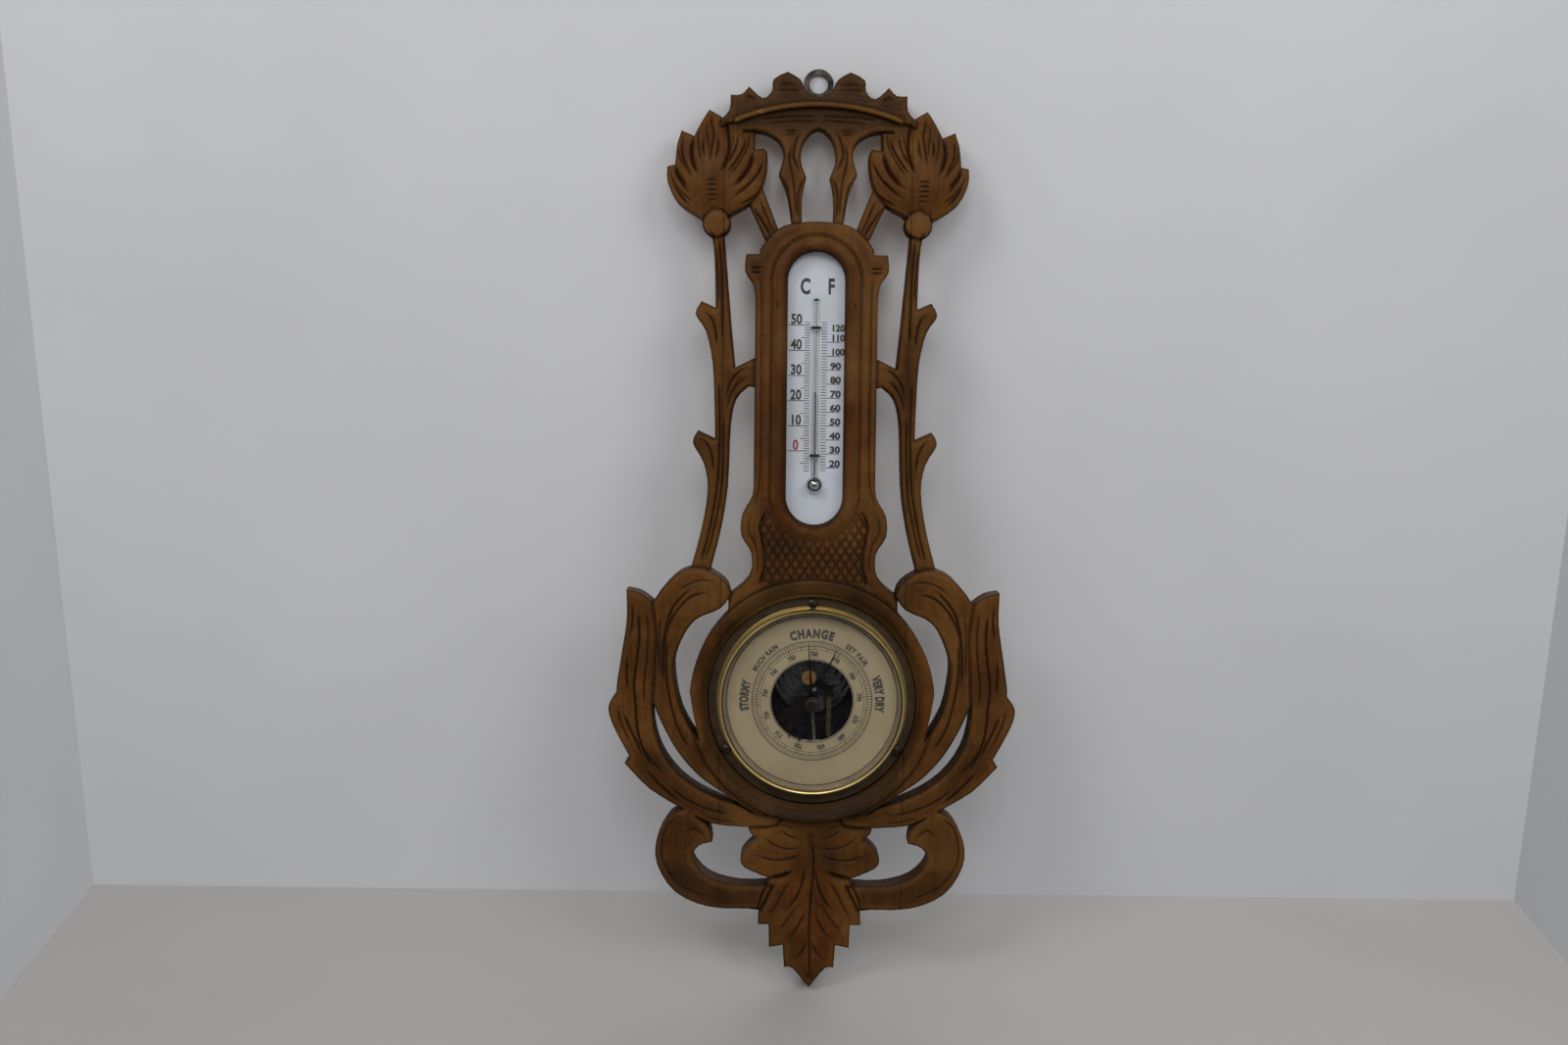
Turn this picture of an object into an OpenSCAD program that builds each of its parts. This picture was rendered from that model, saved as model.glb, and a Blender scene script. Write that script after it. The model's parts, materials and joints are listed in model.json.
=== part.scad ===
// Carved wooden wall barometer with a thermometer above the dial.
// Everything is drawn in a face frame: x to the right, y up the wall, z out of the wall.
// hung() then stands that frame up, so the finished part has +Z up and its front towards -Y.
// The origin is the centre of the hanger's eye, on the wall.

/* [Board] */
// Height of the leaf fronts above the wall
leaf_h = 16; // [14:0.5:20]
// How far the plain fields lie below the leaf fronts
field_drop = 3; // [1:0.5:5]
// How far the raised inner leaves stand above the leaf fronts
lobe_rise = 3.5; // [1:0.5:5]
// Wood left between the case and the glue lines of the middle plank
plank_web = 2; // [1:0.5:5]
// Distance from the hanger's eye down to the centre of the dial
dial_drop = 333; // [325:1:350]
// Radius of the domed flower heads' surface
flower_dome_r = 62; // [58:1:80]
// Radius of the ball boss under each flower
ball_r = 7.8; // [6:0.2:8.5]
// Radius of the raised bead that arches over the crown
crown_bead_r = 117; // [112:1:122]
// Thickness of the raised bead on the crown
crown_bead_t = 2.6; // [1.6:0.2:3.6]

/* [Hanger] */
// Radius of the hanger's eye
eye_r = 5; // [4:0.25:5.5]
// Width of metal round the eye
eye_rim = 3; // [2:0.25:4]
// Thickness of the hanger plate
hanger_t = 1.5; // [1:0.25:2.5]
// Width of the hanger plate's foot behind the crown
foot_w = 34; // [30:1:44]
// Height of the hanger plate's foot
foot_h = 9; // [8:0.5:10]
// Distance from the eye down to the screws in the foot
foot_drop = 17; // [15:0.5:17.5]
// Shank radius of the wood screws
screw_r = 1.3; // [1:0.1:1.6]
// Head radius of the wood screws
screw_head_r = 2.7; // [2.2:0.1:3]

/* [Thermometer] */
// Half width of the thermometer slot
slot_half = 15.4; // [14:0.2:16.5]
// Height of the slot's upper round end, below the eye
slot_top = 105.5; // [104:0.5:108]
// Height of the slot's lower round end above the dial ring
slot_web = 44.5; // [42.5:0.5:48]
// Width of the round bead about the slot
slot_bead_w = 8.2; // [6:0.2:9]
// How far the scale plate reaches under the wood all round
plate_lap = 2.4; // [1.5:0.1:3]
// Thickness of the milk-glass scale plate
plate_t = 2; // [1.5:0.25:3]
// Thickness of the backing board
backing_t = 2.5; // [2:0.25:3.5]
// Thickness of the packing strip between backing and plate
packing_t = 3.4; // [2.5:0.1:4]
// Radius of the thermometer's glass tube
tube_r = 2; // [1.6:0.1:2.4]
// Radius of the bore that holds the thread of liquid
thread_r = 0.5; // [0.3:0.05:0.8]
// Radius of the thermometer's bulb
bulb_r = 4.6; // [4:0.1:5]
// Height of the bulb's centre above the slot's lower round end
bulb_up = 6.5; // [4:0.5:10]
// Depth of the tube's closed top below the slot's upper round end
tube_down = 11.5; // [7:0.5:16]

/* [Dial and case] */
// Radius of the bezel's front bead
bezel_r = 50.6; // [48:0.2:53]
// Height of the bezel above the case flange
bezel_h = 8.4; // [8:0.2:10]
// Wall of the bezel about the glass
bezel_wall = 1.4; // [1.2:0.1:1.8]
// How far the bezel stands out past the case wall
bezel_over = 3; // [2:0.2:4]
// Wall of the steel case
case_wall = 0.8; // [0.6:0.1:1]
// Width of the case's flange
flange_w = 8.9; // [8.4:0.1:9.6]
// Radial clearance between case and wood
case_gap = 0.4; // [0.2:0.1:0.6]
// Width of the turned wooden ring past the flange
ring_w = 10; // [8.5:0.5:11.5]
// Height of the case floor above the wall
floor_z = 0.8; // [0.4:0.1:1.2]
// Height of the flange's underside above the wall
flange_z = 15; // [14.8:0.1:15.5]
// Height of the wooden ring's outer rim above the wall
ring_h = 22; // [20:0.5:24]
// Thickness of the glass
glass_t = 1.8; // [1.4:0.1:2.2]
// Thickness of the dial sheet
dial_t = 0.6; // [0.4:0.1:0.8]
// Radius of the dial's open centre
dial_hole_r = 22.3; // [21:0.1:24]
// Width of the ring between the dial and the glass
spacer_w = 2.4; // [1.7:0.1:3.7]
// How far the rim screws stand out past the bezel
rim_screw_out = 2.8; // [2.6:0.1:3]

/* [Movement] */
// Clearance between the movement's base plate and the case
base_gap = 0.8; // [0.7:0.1:1.4]
// Thickness of the base plate
base_t = 1.4; // [1:0.1:1.6]
// Base plate left showing above the vacuum capsule
capsule_margin = 3.2; // [2.7:0.1:7]
// Thickness of the vacuum capsule
capsule_t = 4.2; // [3.6:0.1:4.4]
// Place of the capsule's centre from the dial's centre
capsule_at = [0.5, 16.8];
// Thickness of the main spring's leaf
spring_t = 0.8; // [0.6:0.1:1]
// Width of the main spring's leaf
spring_w = 14; // [12:0.5:15]
// How much shorter the main spring's arm is than the base plate's radius
spring_inset = 12; // [11.5:0.5:14]
// Angle of the main spring's leaf, from the horizontal
spring_turn = -15; // [-18:1:-12]
// Radius of the rocking shaft
rock_r = 1; // [0.8:0.05:1.2]
// Height of the rocking shaft's centre below the dial's centre
rock_drop = 24; // [23:0.5:26]
// Length of the rocking shaft's chain arm
chain_arm = 7.5; // [7:0.25:8]
// Length of the rocking shaft's link arm
link_arm = 5; // [4.5:0.25:5.5]
// Radius of the drum that the chain winds on
drum_r = 1; // [0.8:0.05:1.2]
// Radius of the pointer spindle
spindle_r = 0.6; // [0.5:0.05:0.7]
// Running clearance of spindles in their bores
run_gap = 0.05; // [0.03:0.01:0.08]
// Turns of the hairspring
hair_turns = 4; // [3:1:5]

/* [Hands] */
// Length of the indicating hand from its centre
pointer_l = 31.5; // [29:0.5:34]
// Direction of the indicating hand, clockwise from the top
pointer_turn = 25; // [10:1:40]
// Length of the indicating hand's tail, up to its crescent
pointer_tail = 19.6; // [16:0.2:21]
// Length of the set hand from its centre
set_hand_l = 31.5; // [29:0.5:34]
// Length of the set hand's tail
set_tail = 20.5; // [16:0.5:24]
// Direction of the set hand, clockwise from the top
set_turn = -4; // [-10:1:0]
// Thickness of both hands
hand_t = 0.4; // [0.3:0.05:0.5]
// Radius of the knob in the glass
knob_r = 4; // [3:0.1:5]
// Length of the knob in front of the glass
knob_l = 8.4; // [6:0.2:10]
// Radius of the set hand's spindle
set_spindle_r = 1.5; // [1.2:0.1:1.8]

/* [Hidden] */
$fn = 64;

// Colours as the photograph shows them
OAK = "peru";
STEEL = "slategray";
BRASS = "goldenrod";
CREAM = "beige";
BLUED = "midnightblue";
BRONZE = "saddlebrown";

eps = 0.02;

// Radii about the dial's centre, worked out from the bezel's
glass_r = bezel_r - bezel_wall;
dial_view_r = glass_r - spacer_w;
rim_screw_pcd_r = bezel_r + rim_screw_out;
case_r = bezel_r - bezel_over;
flange_r = case_r + flange_w;
ring_r = flange_r + ring_w;
base_r = case_r - case_wall - base_gap;
capsule_r = base_r - capsule_at[1] - capsule_margin;
plank_half = case_r + case_gap + plank_web;

// Places down the board
dial_y = -dial_drop;
slot_bottom = dial_drop - ring_r - slot_web;
bulb_drop = slot_bottom - bulb_up;
tube_top = slot_top + tube_down;

// Heights above the wall, worked out from the sizes above
field_h = leaf_h - field_drop;
lobe_h = leaf_h + lobe_rise;
plate_back = backing_t + packing_t;
plate_front = plate_back + plate_t;
flange_top = flange_z + case_wall;
bezel_top = flange_top + bezel_h;
bezel_lip_t = 0.8;
glass_top = bezel_top - bezel_lip_t;
glass_z = glass_top - glass_t;
dial_z = flange_top;
dial_top = dial_z + dial_t;
base_z = floor_z + 1;
base_top = base_z + base_t;
capsule_foot = 1;
capsule_z = base_top + capsule_foot;
capsule_top = capsule_z + capsule_t;
spring_z = capsule_top + 2;
spring_top = spring_z + spring_t;
lever_z = spring_top + 0.3;
lever_t = 0.8;
drum_z = lever_z + 1;
drum_l = 1.1;
chain_z = drum_z + drum_l / 2;
hair_z = drum_z + drum_l + 0.3;
hair_h = 0.4;
cock_t = 0.8;
cock_z = hair_z + hair_h + 0.4;
rock_z = chain_z - chain_arm;
pointer_z = dial_top + 1.2;
set_hand_z = glass_z - 1.6;

// The carving is drawn for a dial ring of this radius, this far below the eye. Widths grow
// with the ring. The crown keeps its height, the leaves below LOW_KEEP grow about the ring's
// centre, and what lies between the two stretches.
DRAWN_RING = 66.5;
DRAWN_DROP = 333;
TOP_KEEP = -75;
LOW_KEEP = -262;
grown = ring_r / DRAWN_RING;
low_shift = dial_y + (LOW_KEEP + DRAWN_DROP) * grown - LOW_KEEP;

function share(y) = min(1, max(0, (TOP_KEEP - y) / (TOP_KEEP - LOW_KEEP)));

function settle(y) =
    y < LOW_KEEP ? dial_y + (y + DRAWN_DROP) * grown : y + low_shift * share(y);

function settled(points) = [for (p = points) [p[0] * grown, settle(p[1])]];

// A Catmull-Rom curve through hand-set points, with a corner at both ends
CURVE_STEPS = 3;

function knot(points, i) = points[max(0, min(len(points) - 1, i))];

function between(a, b, c, d, t) =
    0.5 * (2 * b + (c - a) * t + (2 * a - 5 * b + 4 * c - d) * t * t
        + (3 * b - a - 3 * c + d) * t * t * t);

function curve(points) =
    len(points) == 2 ? [points[0]] :
    [for (i = [0 : len(points) - 2]) for (s = [0 : CURVE_STEPS - 1])
        between(knot(points, i - 1), knot(points, i), knot(points, i + 1),
            knot(points, i + 2), s / CURVE_STEPS)];

// Curves that run on from corner to corner, closed by the straight line home
function outline(runs) = settled([for (r = runs) each curve(r)]);

module closed(runs) {
    last = runs[len(runs) - 1];
    polygon(concat(outline(runs), settled([last[len(last) - 1]])));
}

// Half of the carving is drawn, on the left, and the right is its mirror
module both_sides() {
    children();
    mirror([1, 0, 0]) children();
}

module hung() {
    rotate([90, 0, 0]) children();
}

module at_dial(z = 0) {
    translate([0, dial_y, z]) children();
}

// A flat ring or disc, bored if an inner radius is given
module disc(r, t, bore = 0) {
    difference() {
        cylinder(r = r, h = t);
        if (bore > 0) translate([0, 0, -1]) cylinder(r = bore, h = t + 2);
    }
}

// A bar with round ends from point a to point b
module round_bar(a, b, w, t) {
    d = b - a;
    run = norm(d);
    translate([a[0], a[1], 0]) rotate([0, 0, atan2(d[1], d[0])]) {
        translate([0, -w / 2, 0]) cube([run, w, t]);
        cylinder(r = w / 2, h = t);
        translate([run, 0, 0]) cylinder(r = w / 2, h = t);
    }
}

// Outlines of the carving, left half
CROWN = [
    [[0, -9], [-6.5, -6.5], [-10, 0], [-16.8, 4]],
    [[-16.8, 4], [-24.2, 0], [-25, -6], [-30, -9.9], [-37.2, -3.9]],
    [[-37.2, -3.9], [-41.2, -8], [-47, -8.2]],
    [[-47, -8.2], [-47.5, -16], [-52, -21]],
    [[-52, -21], [-52, -28]],
    [[-52, -28], [-33.7, -26.5]],
    [[-33.7, -26.5], [-27, -28], [-20.8, -32.4], [-18.5, -39.5], [-21, -49.3]],
    [[-21, -49.3], [-16.5, -60.3], [-13.8, -77]],
    [[-13.8, -77], [-8.3, -77]],
    [[-8.3, -77], [-8.4, -60.9], [-6.3, -50.8]],
    [[-6.3, -50.8], [-9.4, -41.9], [-8.1, -33], [-4, -27], [0, -25]]
];
FLOWER = [
    [[-49.8, -20.4], [-58.5, -14.9]],
    [[-58.5, -14.9], [-61.5, -19.9], [-66.3, -29.8]],
    [[-66.3, -29.8], [-73.2, -26.5]],
    [[-73.2, -26.5], [-75.5, -34.8], [-76.4, -45]],
    [[-76.4, -45], [-80.6, -45.8]],
    [[-80.6, -45.8], [-80.5, -53.8], [-74.9, -65.1], [-62.5, -73.4]],
    [[-62.5, -73.4], [-54, -77], [-45.4, -70.6]],
    [[-45.4, -70.6], [-36, -65], [-29.2, -54.6], [-27, -40.5], [-28.8, -35.6]],
    [[-28.8, -35.6], [-34.2, -36.8]],
    [[-34.2, -36.8], [-33.7, -24]]
];
STRUT = [
    [[-38.5, -62], [-26.5, -87]],
    [[-26.5, -87], [-19.5, -82]],
    [[-19.5, -82], [-30, -56]],
    [[-30, -56], [-38.5, -62]]
];
STEM = [
    [[-57, -78], [-55, -94], [-54.2, -120.6]],
    [[-54.2, -120.6], [-61.8, -117.2]],
    [[-61.8, -117.2], [-65, -124.3], [-59.5, -133.1], [-55.6, -150], [-54.4, -174],
        [-54, -191.2]],
    [[-54, -191.2], [-63.4, -186.8]],
    [[-63.4, -186.8], [-66, -193.5], [-60, -204.4], [-57.8, -219], [-61.2, -241], [-67.1, -263]],
    [[-67.1, -263], [-60, -275], [-50, -270], [-55.9, -262]],
    [[-55.9, -262], [-50.8, -241.2], [-47.1, -216.5], [-45.8, -184], [-42.7, -169.5],
        [-36, -162.6]],
    [[-36, -162.6], [-30, -164]],
    [[-30, -164], [-30, -146]],
    [[-30, -146], [-36.2, -149], [-43.5, -152.7]],
    [[-43.5, -152.7], [-46.2, -126], [-49.7, -84], [-50, -78]]
];
FRAME = [
    [[0, -74.5], [-11.6, -75.4], [-21.3, -78.9], [-29.8, -88.3], [-30.5, -92]],
    [[-30.5, -92], [-37.9, -92.2]],
    [[-37.9, -92.2], [-38.4, -101.3], [-34.2, -107.7], [-32.8, -115]],
    [[-32.8, -115], [-32.8, -208]],
    [[-32.8, -208], [-33.4, -221.5], [-38.9, -232], [-39.1, -243.4], [-33.6, -253],
        [-35, -266], [-46, -276]],
    [[-46, -276], [-46, -300]],
    [[-46, -300], [0, -300]]
];
INNER_LEAF = [
    [[-86.9, -280], [-81.9, -272.5], [-72.2, -263.1], [-59.7, -260.9], [-47.8, -267.8],
        [-44.6, -275.5]],
    [[-44.6, -275.5], [-50, -282.6], [-60, -287]],
    [[-60, -287], [-66.2, -291.9], [-73.7, -306.5], [-75.1, -318.2], [-71, -338.7],
        [-60.5, -357]],
    [[-60.5, -357], [-52, -372], [-38, -384], [-24, -397]],
    [[-24, -397], [-38.6, -390], [-58.5, -378], [-72.2, -363], [-81.6, -346.5], [-86.4, -335]],
    [[-86.4, -335], [-85.4, -312.8], [-84.7, -297.2], [-86.9, -280]]
];
OUTER_LEAF = [
    [[-101.4, -273.2], [-101.2, -290], [-103.7, -307.2], [-106.4, -324.8], [-106.6, -330.1]],
    [[-106.6, -330.1], [-111, -337.4], [-108.6, -347.7], [-99.1, -365.8]],
    [[-99.1, -365.8], [-102.1, -369]],
    [[-102.1, -369], [-88, -383.3], [-70.5, -394]],
    [[-70.5, -394], [-53.8, -402.1], [-34.2, -403.7]],
    [[-34.2, -403.7], [-18, -402], [-16, -392]],
    [[-16, -392], [-36, -392], [-54.6, -386.2], [-71.2, -375.6], [-82.4, -360.2],
        [-86.6, -342], [-86.2, -335]],
    [[-86.2, -335], [-82, -312.8], [-82, -297.2], [-86.9, -280]],
    [[-86.9, -280], [-94, -275], [-101.4, -273.2]]
];
// The long slit between the outer and the inner leaf
LEAF_SLIT = [
    [[-86.2, -335], [-81.6, -346], [-72.2, -362.5], [-58.5, -377], [-37, -390.6]],
    [[-37, -390.6], [-54.6, -386.2], [-71.2, -375.6], [-82.4, -360.2], [-86.4, -345],
        [-86.2, -335]]
];
// The crescent gap between the inner leaf and the dial ring
RING_SLIT = [
    [[-56.6, -287], [-66.2, -291.9], [-73.7, -306.5], [-75.1, -318.2], [-71, -338.7],
        [-61, -355.5]],
    [[-61, -355.5], [-66.2, -328.7], [-66.3, -311.3], [-59.5, -291.9], [-56.6, -287]]
];
SCROLL = [
    [[-69, -394], [-77, -397.6], [-84.1, -410.3], [-84.1, -424.8], [-73.9, -440.6],
        [-54.8, -448.7], [-27, -450]],
    [[-27, -450], [-20, -436]],
    [[-20, -436], [-38.5, -436.6], [-55.3, -432], [-64.4, -422], [-61.2, -414.6],
        [-53.7, -412.3]],
    [[-53.7, -412.3], [-55.3, -404.5], [-62, -398.8], [-69, -394]]
];
TAIL = [
    [[0, -400], [-14.6, -398.6], [-27.9, -400.7], [-33.8, -405.2], [-29.6, -410]],
    [[-29.6, -410], [-37.5, -418.7], [-36.2, -426.2], [-22, -432]],
    [[-22, -432], [-27.1, -445.4], [-28.4, -457.8]],
    [[-28.4, -457.8], [-22.4, -457.9]],
    [[-22.4, -457.9], [-22, -470.7]],
    [[-22, -470.7], [-14.5, -469.3]],
    [[-14.5, -469.3], [-13.6, -482]],
    [[-13.6, -482], [-8.9, -482.4], [-1, -492], [0, -493]]
];

// Anything cut from the front or back goes this far past the wood
CUT = 40;

module slot_shape(half) {
    for (y = [-slot_top, -slot_bottom]) translate([0, y]) circle(r = half);
    translate([-half, -slot_bottom]) square([2 * half, slot_bottom - slot_top]);
}

// The turned ring: a dished band that falls in to a step and the case's rebate
rebate_r = flange_r + 0.5;

module dial_ring() {
    lip = flange_z + 3.4;
    at_dial() rotate_extrude() polygon([
        [rebate_r - 8, 0], [ring_r, 0], [ring_r, ring_h - 1.2], [ring_r - 0.6, ring_h - 0.3],
        [ring_r - 1.6, ring_h], [ring_r - 3, ring_h - 0.4], [ring_r - 6, ring_h - 1.7],
        [rebate_r + 1.4, lip], [rebate_r + 1, lip + 0.5], [rebate_r, lip + 0.3],
        [rebate_r, flange_z], [rebate_r - 8, flange_z]
    ]);
}

// Half-round bead about the thermometer slot
module slot_bead() {
    mid = slot_half + slot_bead_w / 2;
    deep = leaf_h + 1.4;
    module section() {
        translate([mid, deep - slot_bead_w / 2]) circle(r = slot_bead_w / 2);
        translate([slot_half, 0]) square([slot_bead_w, deep - slot_bead_w / 2]);
    }
    translate([0, -slot_top, 0]) rotate_extrude(angle = 180) section();
    translate([0, -slot_bottom, 0]) rotate([0, 0, 180]) rotate_extrude(angle = 180) section();
    both_sides() translate([0, -slot_top, 0]) rotate([90, 0, 0])
        linear_extrude(slot_bottom - slot_top) section();
}

CROWN_BEAD_TOP = -13;
CROWN_BEAD_REACH = 45 * grown;

module crown_bead() {
    sweep = 2 * asin(CROWN_BEAD_REACH / crown_bead_r);
    translate([0, CROWN_BEAD_TOP - crown_bead_r, leaf_h]) rotate([0, 0, 90 - sweep / 2])
        rotate_extrude(angle = sweep) translate([crown_bead_r, 0]) circle(d = crown_bead_t);
}

// The crest of the crown stands above the bead
module crown_crest() {
    difference() {
        linear_extrude(leaf_h) closed(CROWN);
        translate([0, CROWN_BEAD_TOP - crown_bead_r, field_h]) cylinder(r = crown_bead_r, h = CUT);
    }
}

FLOWER_AT = [-55 * grown, -50];
BALL_AT = [-54 * grown, -75.8];

module flower_head() {
    intersection() {
        linear_extrude(CUT) closed(FLOWER);
        translate([FLOWER_AT[0], FLOWER_AT[1], lobe_h - flower_dome_r])
            sphere(r = flower_dome_r, $fn = 128);
    }
}

// The round boss under a flower, where the stem starts
module ball_boss() {
    translate([BALL_AT[0], BALL_AT[1], 0]) {
        translate([0, 0, leaf_h - ball_r + 2]) sphere(r = ball_r);
        cylinder(r = ball_r - 0.4, h = field_h);
    }
}

// The midrib that stands up the middle of the bottom leaf
RIB_ENDS = [-408, -486];
RIB_HALF = 3;

module tail_rib() {
    translate([0, settle(RIB_ENDS[0]), 0]) rotate([90, 0, 0])
        linear_extrude(settle(RIB_ENDS[0]) - settle(RIB_ENDS[1]))
            polygon([[-RIB_HALF, field_h - 1], [RIB_HALF, field_h - 1], [0, leaf_h + 1]]);
}

// The cut field of the waist lies lower than the frame about it
FIELD_ENDS = [-224, -300];
FIELD_HALF = 28;

module waist_field() {
    translate([-FIELD_HALF, settle(FIELD_ENDS[1]), field_h])
        cube([FIELD_HALF + 1, settle(FIELD_ENDS[0]) - settle(FIELD_ENDS[1]), CUT]);
}

module carving() {
    difference() {
        union() {
            both_sides() {
                crown_crest();
                flower_head();
                ball_boss();
                linear_extrude(field_h) closed(STRUT);
                linear_extrude(leaf_h - 1) closed(STEM);
                linear_extrude(lobe_h) closed(INNER_LEAF);
                linear_extrude(leaf_h) closed(OUTER_LEAF);
                linear_extrude(leaf_h) closed(SCROLL);
                linear_extrude(leaf_h - 0.5) closed(TAIL);
                difference() {
                    linear_extrude(leaf_h + 0.5) closed(FRAME);
                    translate([0, 0, field_h]) linear_extrude(CUT) slot_shape(slot_half + slot_bead_w + 1);
                    waist_field();
                }
            }
            slot_bead();
            dial_ring();
            crown_bead();
            tail_rib();
        }
        both_sides() {
            translate([0, 0, -1]) linear_extrude(CUT) closed(LEAF_SLIT);
            translate([0, 0, -1]) linear_extrude(CUT) closed(RING_SLIT);
        }
        at_dial(-1) cylinder(r = case_r + case_gap, h = CUT);
        at_dial(flange_z) cylinder(r = rebate_r, h = CUT);
        translate([0, 0, -1]) linear_extrude(CUT) slot_shape(slot_half);
        thermometer_pocket();
        hanger_recess();
        screw_holes();
    }
}

plate_half = slot_half + plate_lap;
plate_top_y = -slot_top + plate_half;
plate_low_y = -slot_bottom - plate_half;
plate_gap = 0.4;
backing_lap = 6;
recess_gap = 0.3;

module back_rect(lap, gap, z0, t) {
    half = plate_half + lap + gap;
    translate([-half, plate_low_y - lap - gap, z0])
        cube([2 * half, plate_top_y - plate_low_y + 2 * (lap + gap), t]);
}

module thermometer_pocket() {
    back_rect(0, plate_gap, -1, plate_front + 1);
    back_rect(backing_lap, plate_gap, -1, backing_t + 1);
}

module hanger_shape(gap, t) {
    neck = eye_r + 1 + gap;
    cylinder(r = eye_r + eye_rim + gap, h = t);
    translate([-neck, -foot_drop, 0]) cube([2 * neck, foot_drop, t]);
    round_bar([-foot_w / 2 + foot_h / 2, -foot_drop], [foot_w / 2 - foot_h / 2, -foot_drop],
        foot_h + 2 * gap, t);
}

module hanger_recess() {
    translate([0, 0, -1]) hanger_shape(recess_gap, hanger_t + 1);
}

hanger_screw_spots = [for (x = [-1, 1]) [x * (foot_w - foot_h) / 2, -foot_drop]];
backing_screw_spots = [for (x = [-1, 1]) for (y = [plate_top_y + backing_lap / 2,
    plate_low_y - backing_lap / 2]) [x * plate_half * 0.6, y]];
RIM_ANGLES = [90, 210, 330];
screw_l = 9;

module screw_holes() {
    for (p = hanger_screw_spots) translate([p[0], p[1], -1]) cylinder(r = screw_r, h = screw_l + 1.5);
    for (p = backing_screw_spots) translate([p[0], p[1], -1])
        cylinder(r = screw_r, h = screw_l + 1.5);
    for (a = RIM_ANGLES) at_dial(flange_z - screw_l) rotate([0, 0, a])
        translate([rim_screw_pcd_r, 0, -0.5]) cylinder(r = screw_r, h = screw_l + 1);
}

// A wood screw that stands on z = 0 with its head up and its shank down
module wood_screw(t = 0) {
    translate([0, 0, -screw_l]) cylinder(r = screw_r, h = screw_l + t);
    difference() {
        intersection() {
            translate([0, 0, 2 - screw_head_r * 1.4]) sphere(r = screw_head_r * 1.4);
            cylinder(r = screw_head_r, h = 4);
        }
        translate([-screw_head_r, -0.35, 1.2]) cube([2 * screw_head_r, 0.7, 3]);
    }
}

// A countersunk screw, flush at z = 0, that goes up into the wood
module flush_screw() {
    cylinder(r = screw_r, h = screw_l);
    difference() {
        cylinder(r1 = screw_head_r, r2 = screw_r, h = screw_head_r - screw_r);
        translate([-screw_head_r, -0.35, -1]) cube([2 * screw_head_r, 0.7, 1.5]);
    }
}

module sink(spots, t) {
    for (p = spots) translate([p[0], p[1], 0]) {
        translate([0, 0, -1]) cylinder(r = screw_r, h = t + 2);
        translate([0, 0, -eps]) cylinder(r1 = screw_head_r + eps, r2 = screw_r,
            h = screw_head_r - screw_r + eps);
    }
}

// A plank of the board, from x = a to x = b
module plank(a, b) {
    color(OAK) hung() intersection() {
        carving();
        translate([a, -2 * dial_drop, -1]) cube([b - a, 3 * dial_drop, CUT]);
    }
}

module centre_board() {
    plank(-plank_half, plank_half);
}

module wing(side) {
    plank(side > 0 ? plank_half : -dial_drop, side > 0 ? dial_drop : -plank_half);
}

module left_wing() {
    wing(-1);
}

module right_wing() {
    wing(1);
}

module hanger_plate() {
    color(STEEL) hung() difference() {
        hanger_shape(0, hanger_t);
        translate([0, 0, -1]) cylinder(r = eye_r, h = hanger_t + 2);
        sink(hanger_screw_spots, hanger_t);
    }
}

module hanger_screws() {
    color(STEEL) hung() for (p = hanger_screw_spots) translate([p[0], p[1], 0]) flush_screw();
}

module thermometer_plate() {
    color(CREAM) hung() back_rect(0, 0, plate_back, plate_t);
}

module thermometer_packing() {
    color("tan") hung() back_rect(0, 0, backing_t, packing_t);
}

module thermometer_backing() {
    color(OAK) hung() difference() {
        back_rect(backing_lap, 0, 0, backing_t);
        sink(backing_screw_spots, backing_t);
    }
}

module backing_screws() {
    color(STEEL) hung() for (p = backing_screw_spots) translate([p[0], p[1], 0]) flush_screw();
}

tube_z = plate_front + tube_r + 0.3;
bulb_z = plate_front + bulb_r + 0.05;
bulb_y = -bulb_drop;
bulb_wall = 0.7;
TIE_SHARES = [0.14, 0.84];

// Places the stem, which runs from the bulb up to its closed end
module along_tube(y) {
    translate([0, y, tube_z]) rotate([-90, 0, 0]) children();
}

module thermometer_tube() {
    color("lightcyan") hung() difference() {
        union() {
            along_tube(bulb_y) cylinder(r = tube_r, h = bulb_drop - tube_top);
            along_tube(-tube_top) sphere(r = tube_r);
            translate([0, bulb_y, bulb_z]) sphere(r = bulb_r);
        }
        along_tube(bulb_y) cylinder(r = thread_r, h = bulb_drop - tube_top + 2 * tube_r);
        translate([0, bulb_y, bulb_z]) sphere(r = bulb_r - bulb_wall);
    }
}

liquid_l = 50;
liquid_gap = 0.08;

module thermometer_liquid() {
    color("silver") hung() {
        along_tube(bulb_y) cylinder(r = thread_r - liquid_gap, h = liquid_l);
        translate([0, bulb_y, bulb_z]) sphere(r = bulb_r - bulb_wall - liquid_gap);
    }
}

tie_wire_r = 0.4;

tie_gap = 0.05;

// Wire staples that bow over the tube and stand on the plate
module tube_ties() {
    inner = tube_r + tie_gap;
    outer = inner + 2 * tie_wire_r;
    long = 4 * tie_wire_r;
    color("black") hung() for (s = TIE_SHARES)
        translate([0, -tube_top - s * (bulb_drop - tube_top), 0]) {
            difference() {
                along_tube(-long / 2) cylinder(r = outer, h = long);
                along_tube(-long) cylinder(r = inner, h = 2 * long);
                translate([-2 * outer, -long, tube_z - 2 * outer])
                    cube([4 * outer, 2 * long, 2 * outer]);
            }
            for (x = [-outer, inner]) translate([x, -long / 2, plate_front])
                cube([2 * tie_wire_r, long, tube_z - plate_front]);
        }
}

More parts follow.
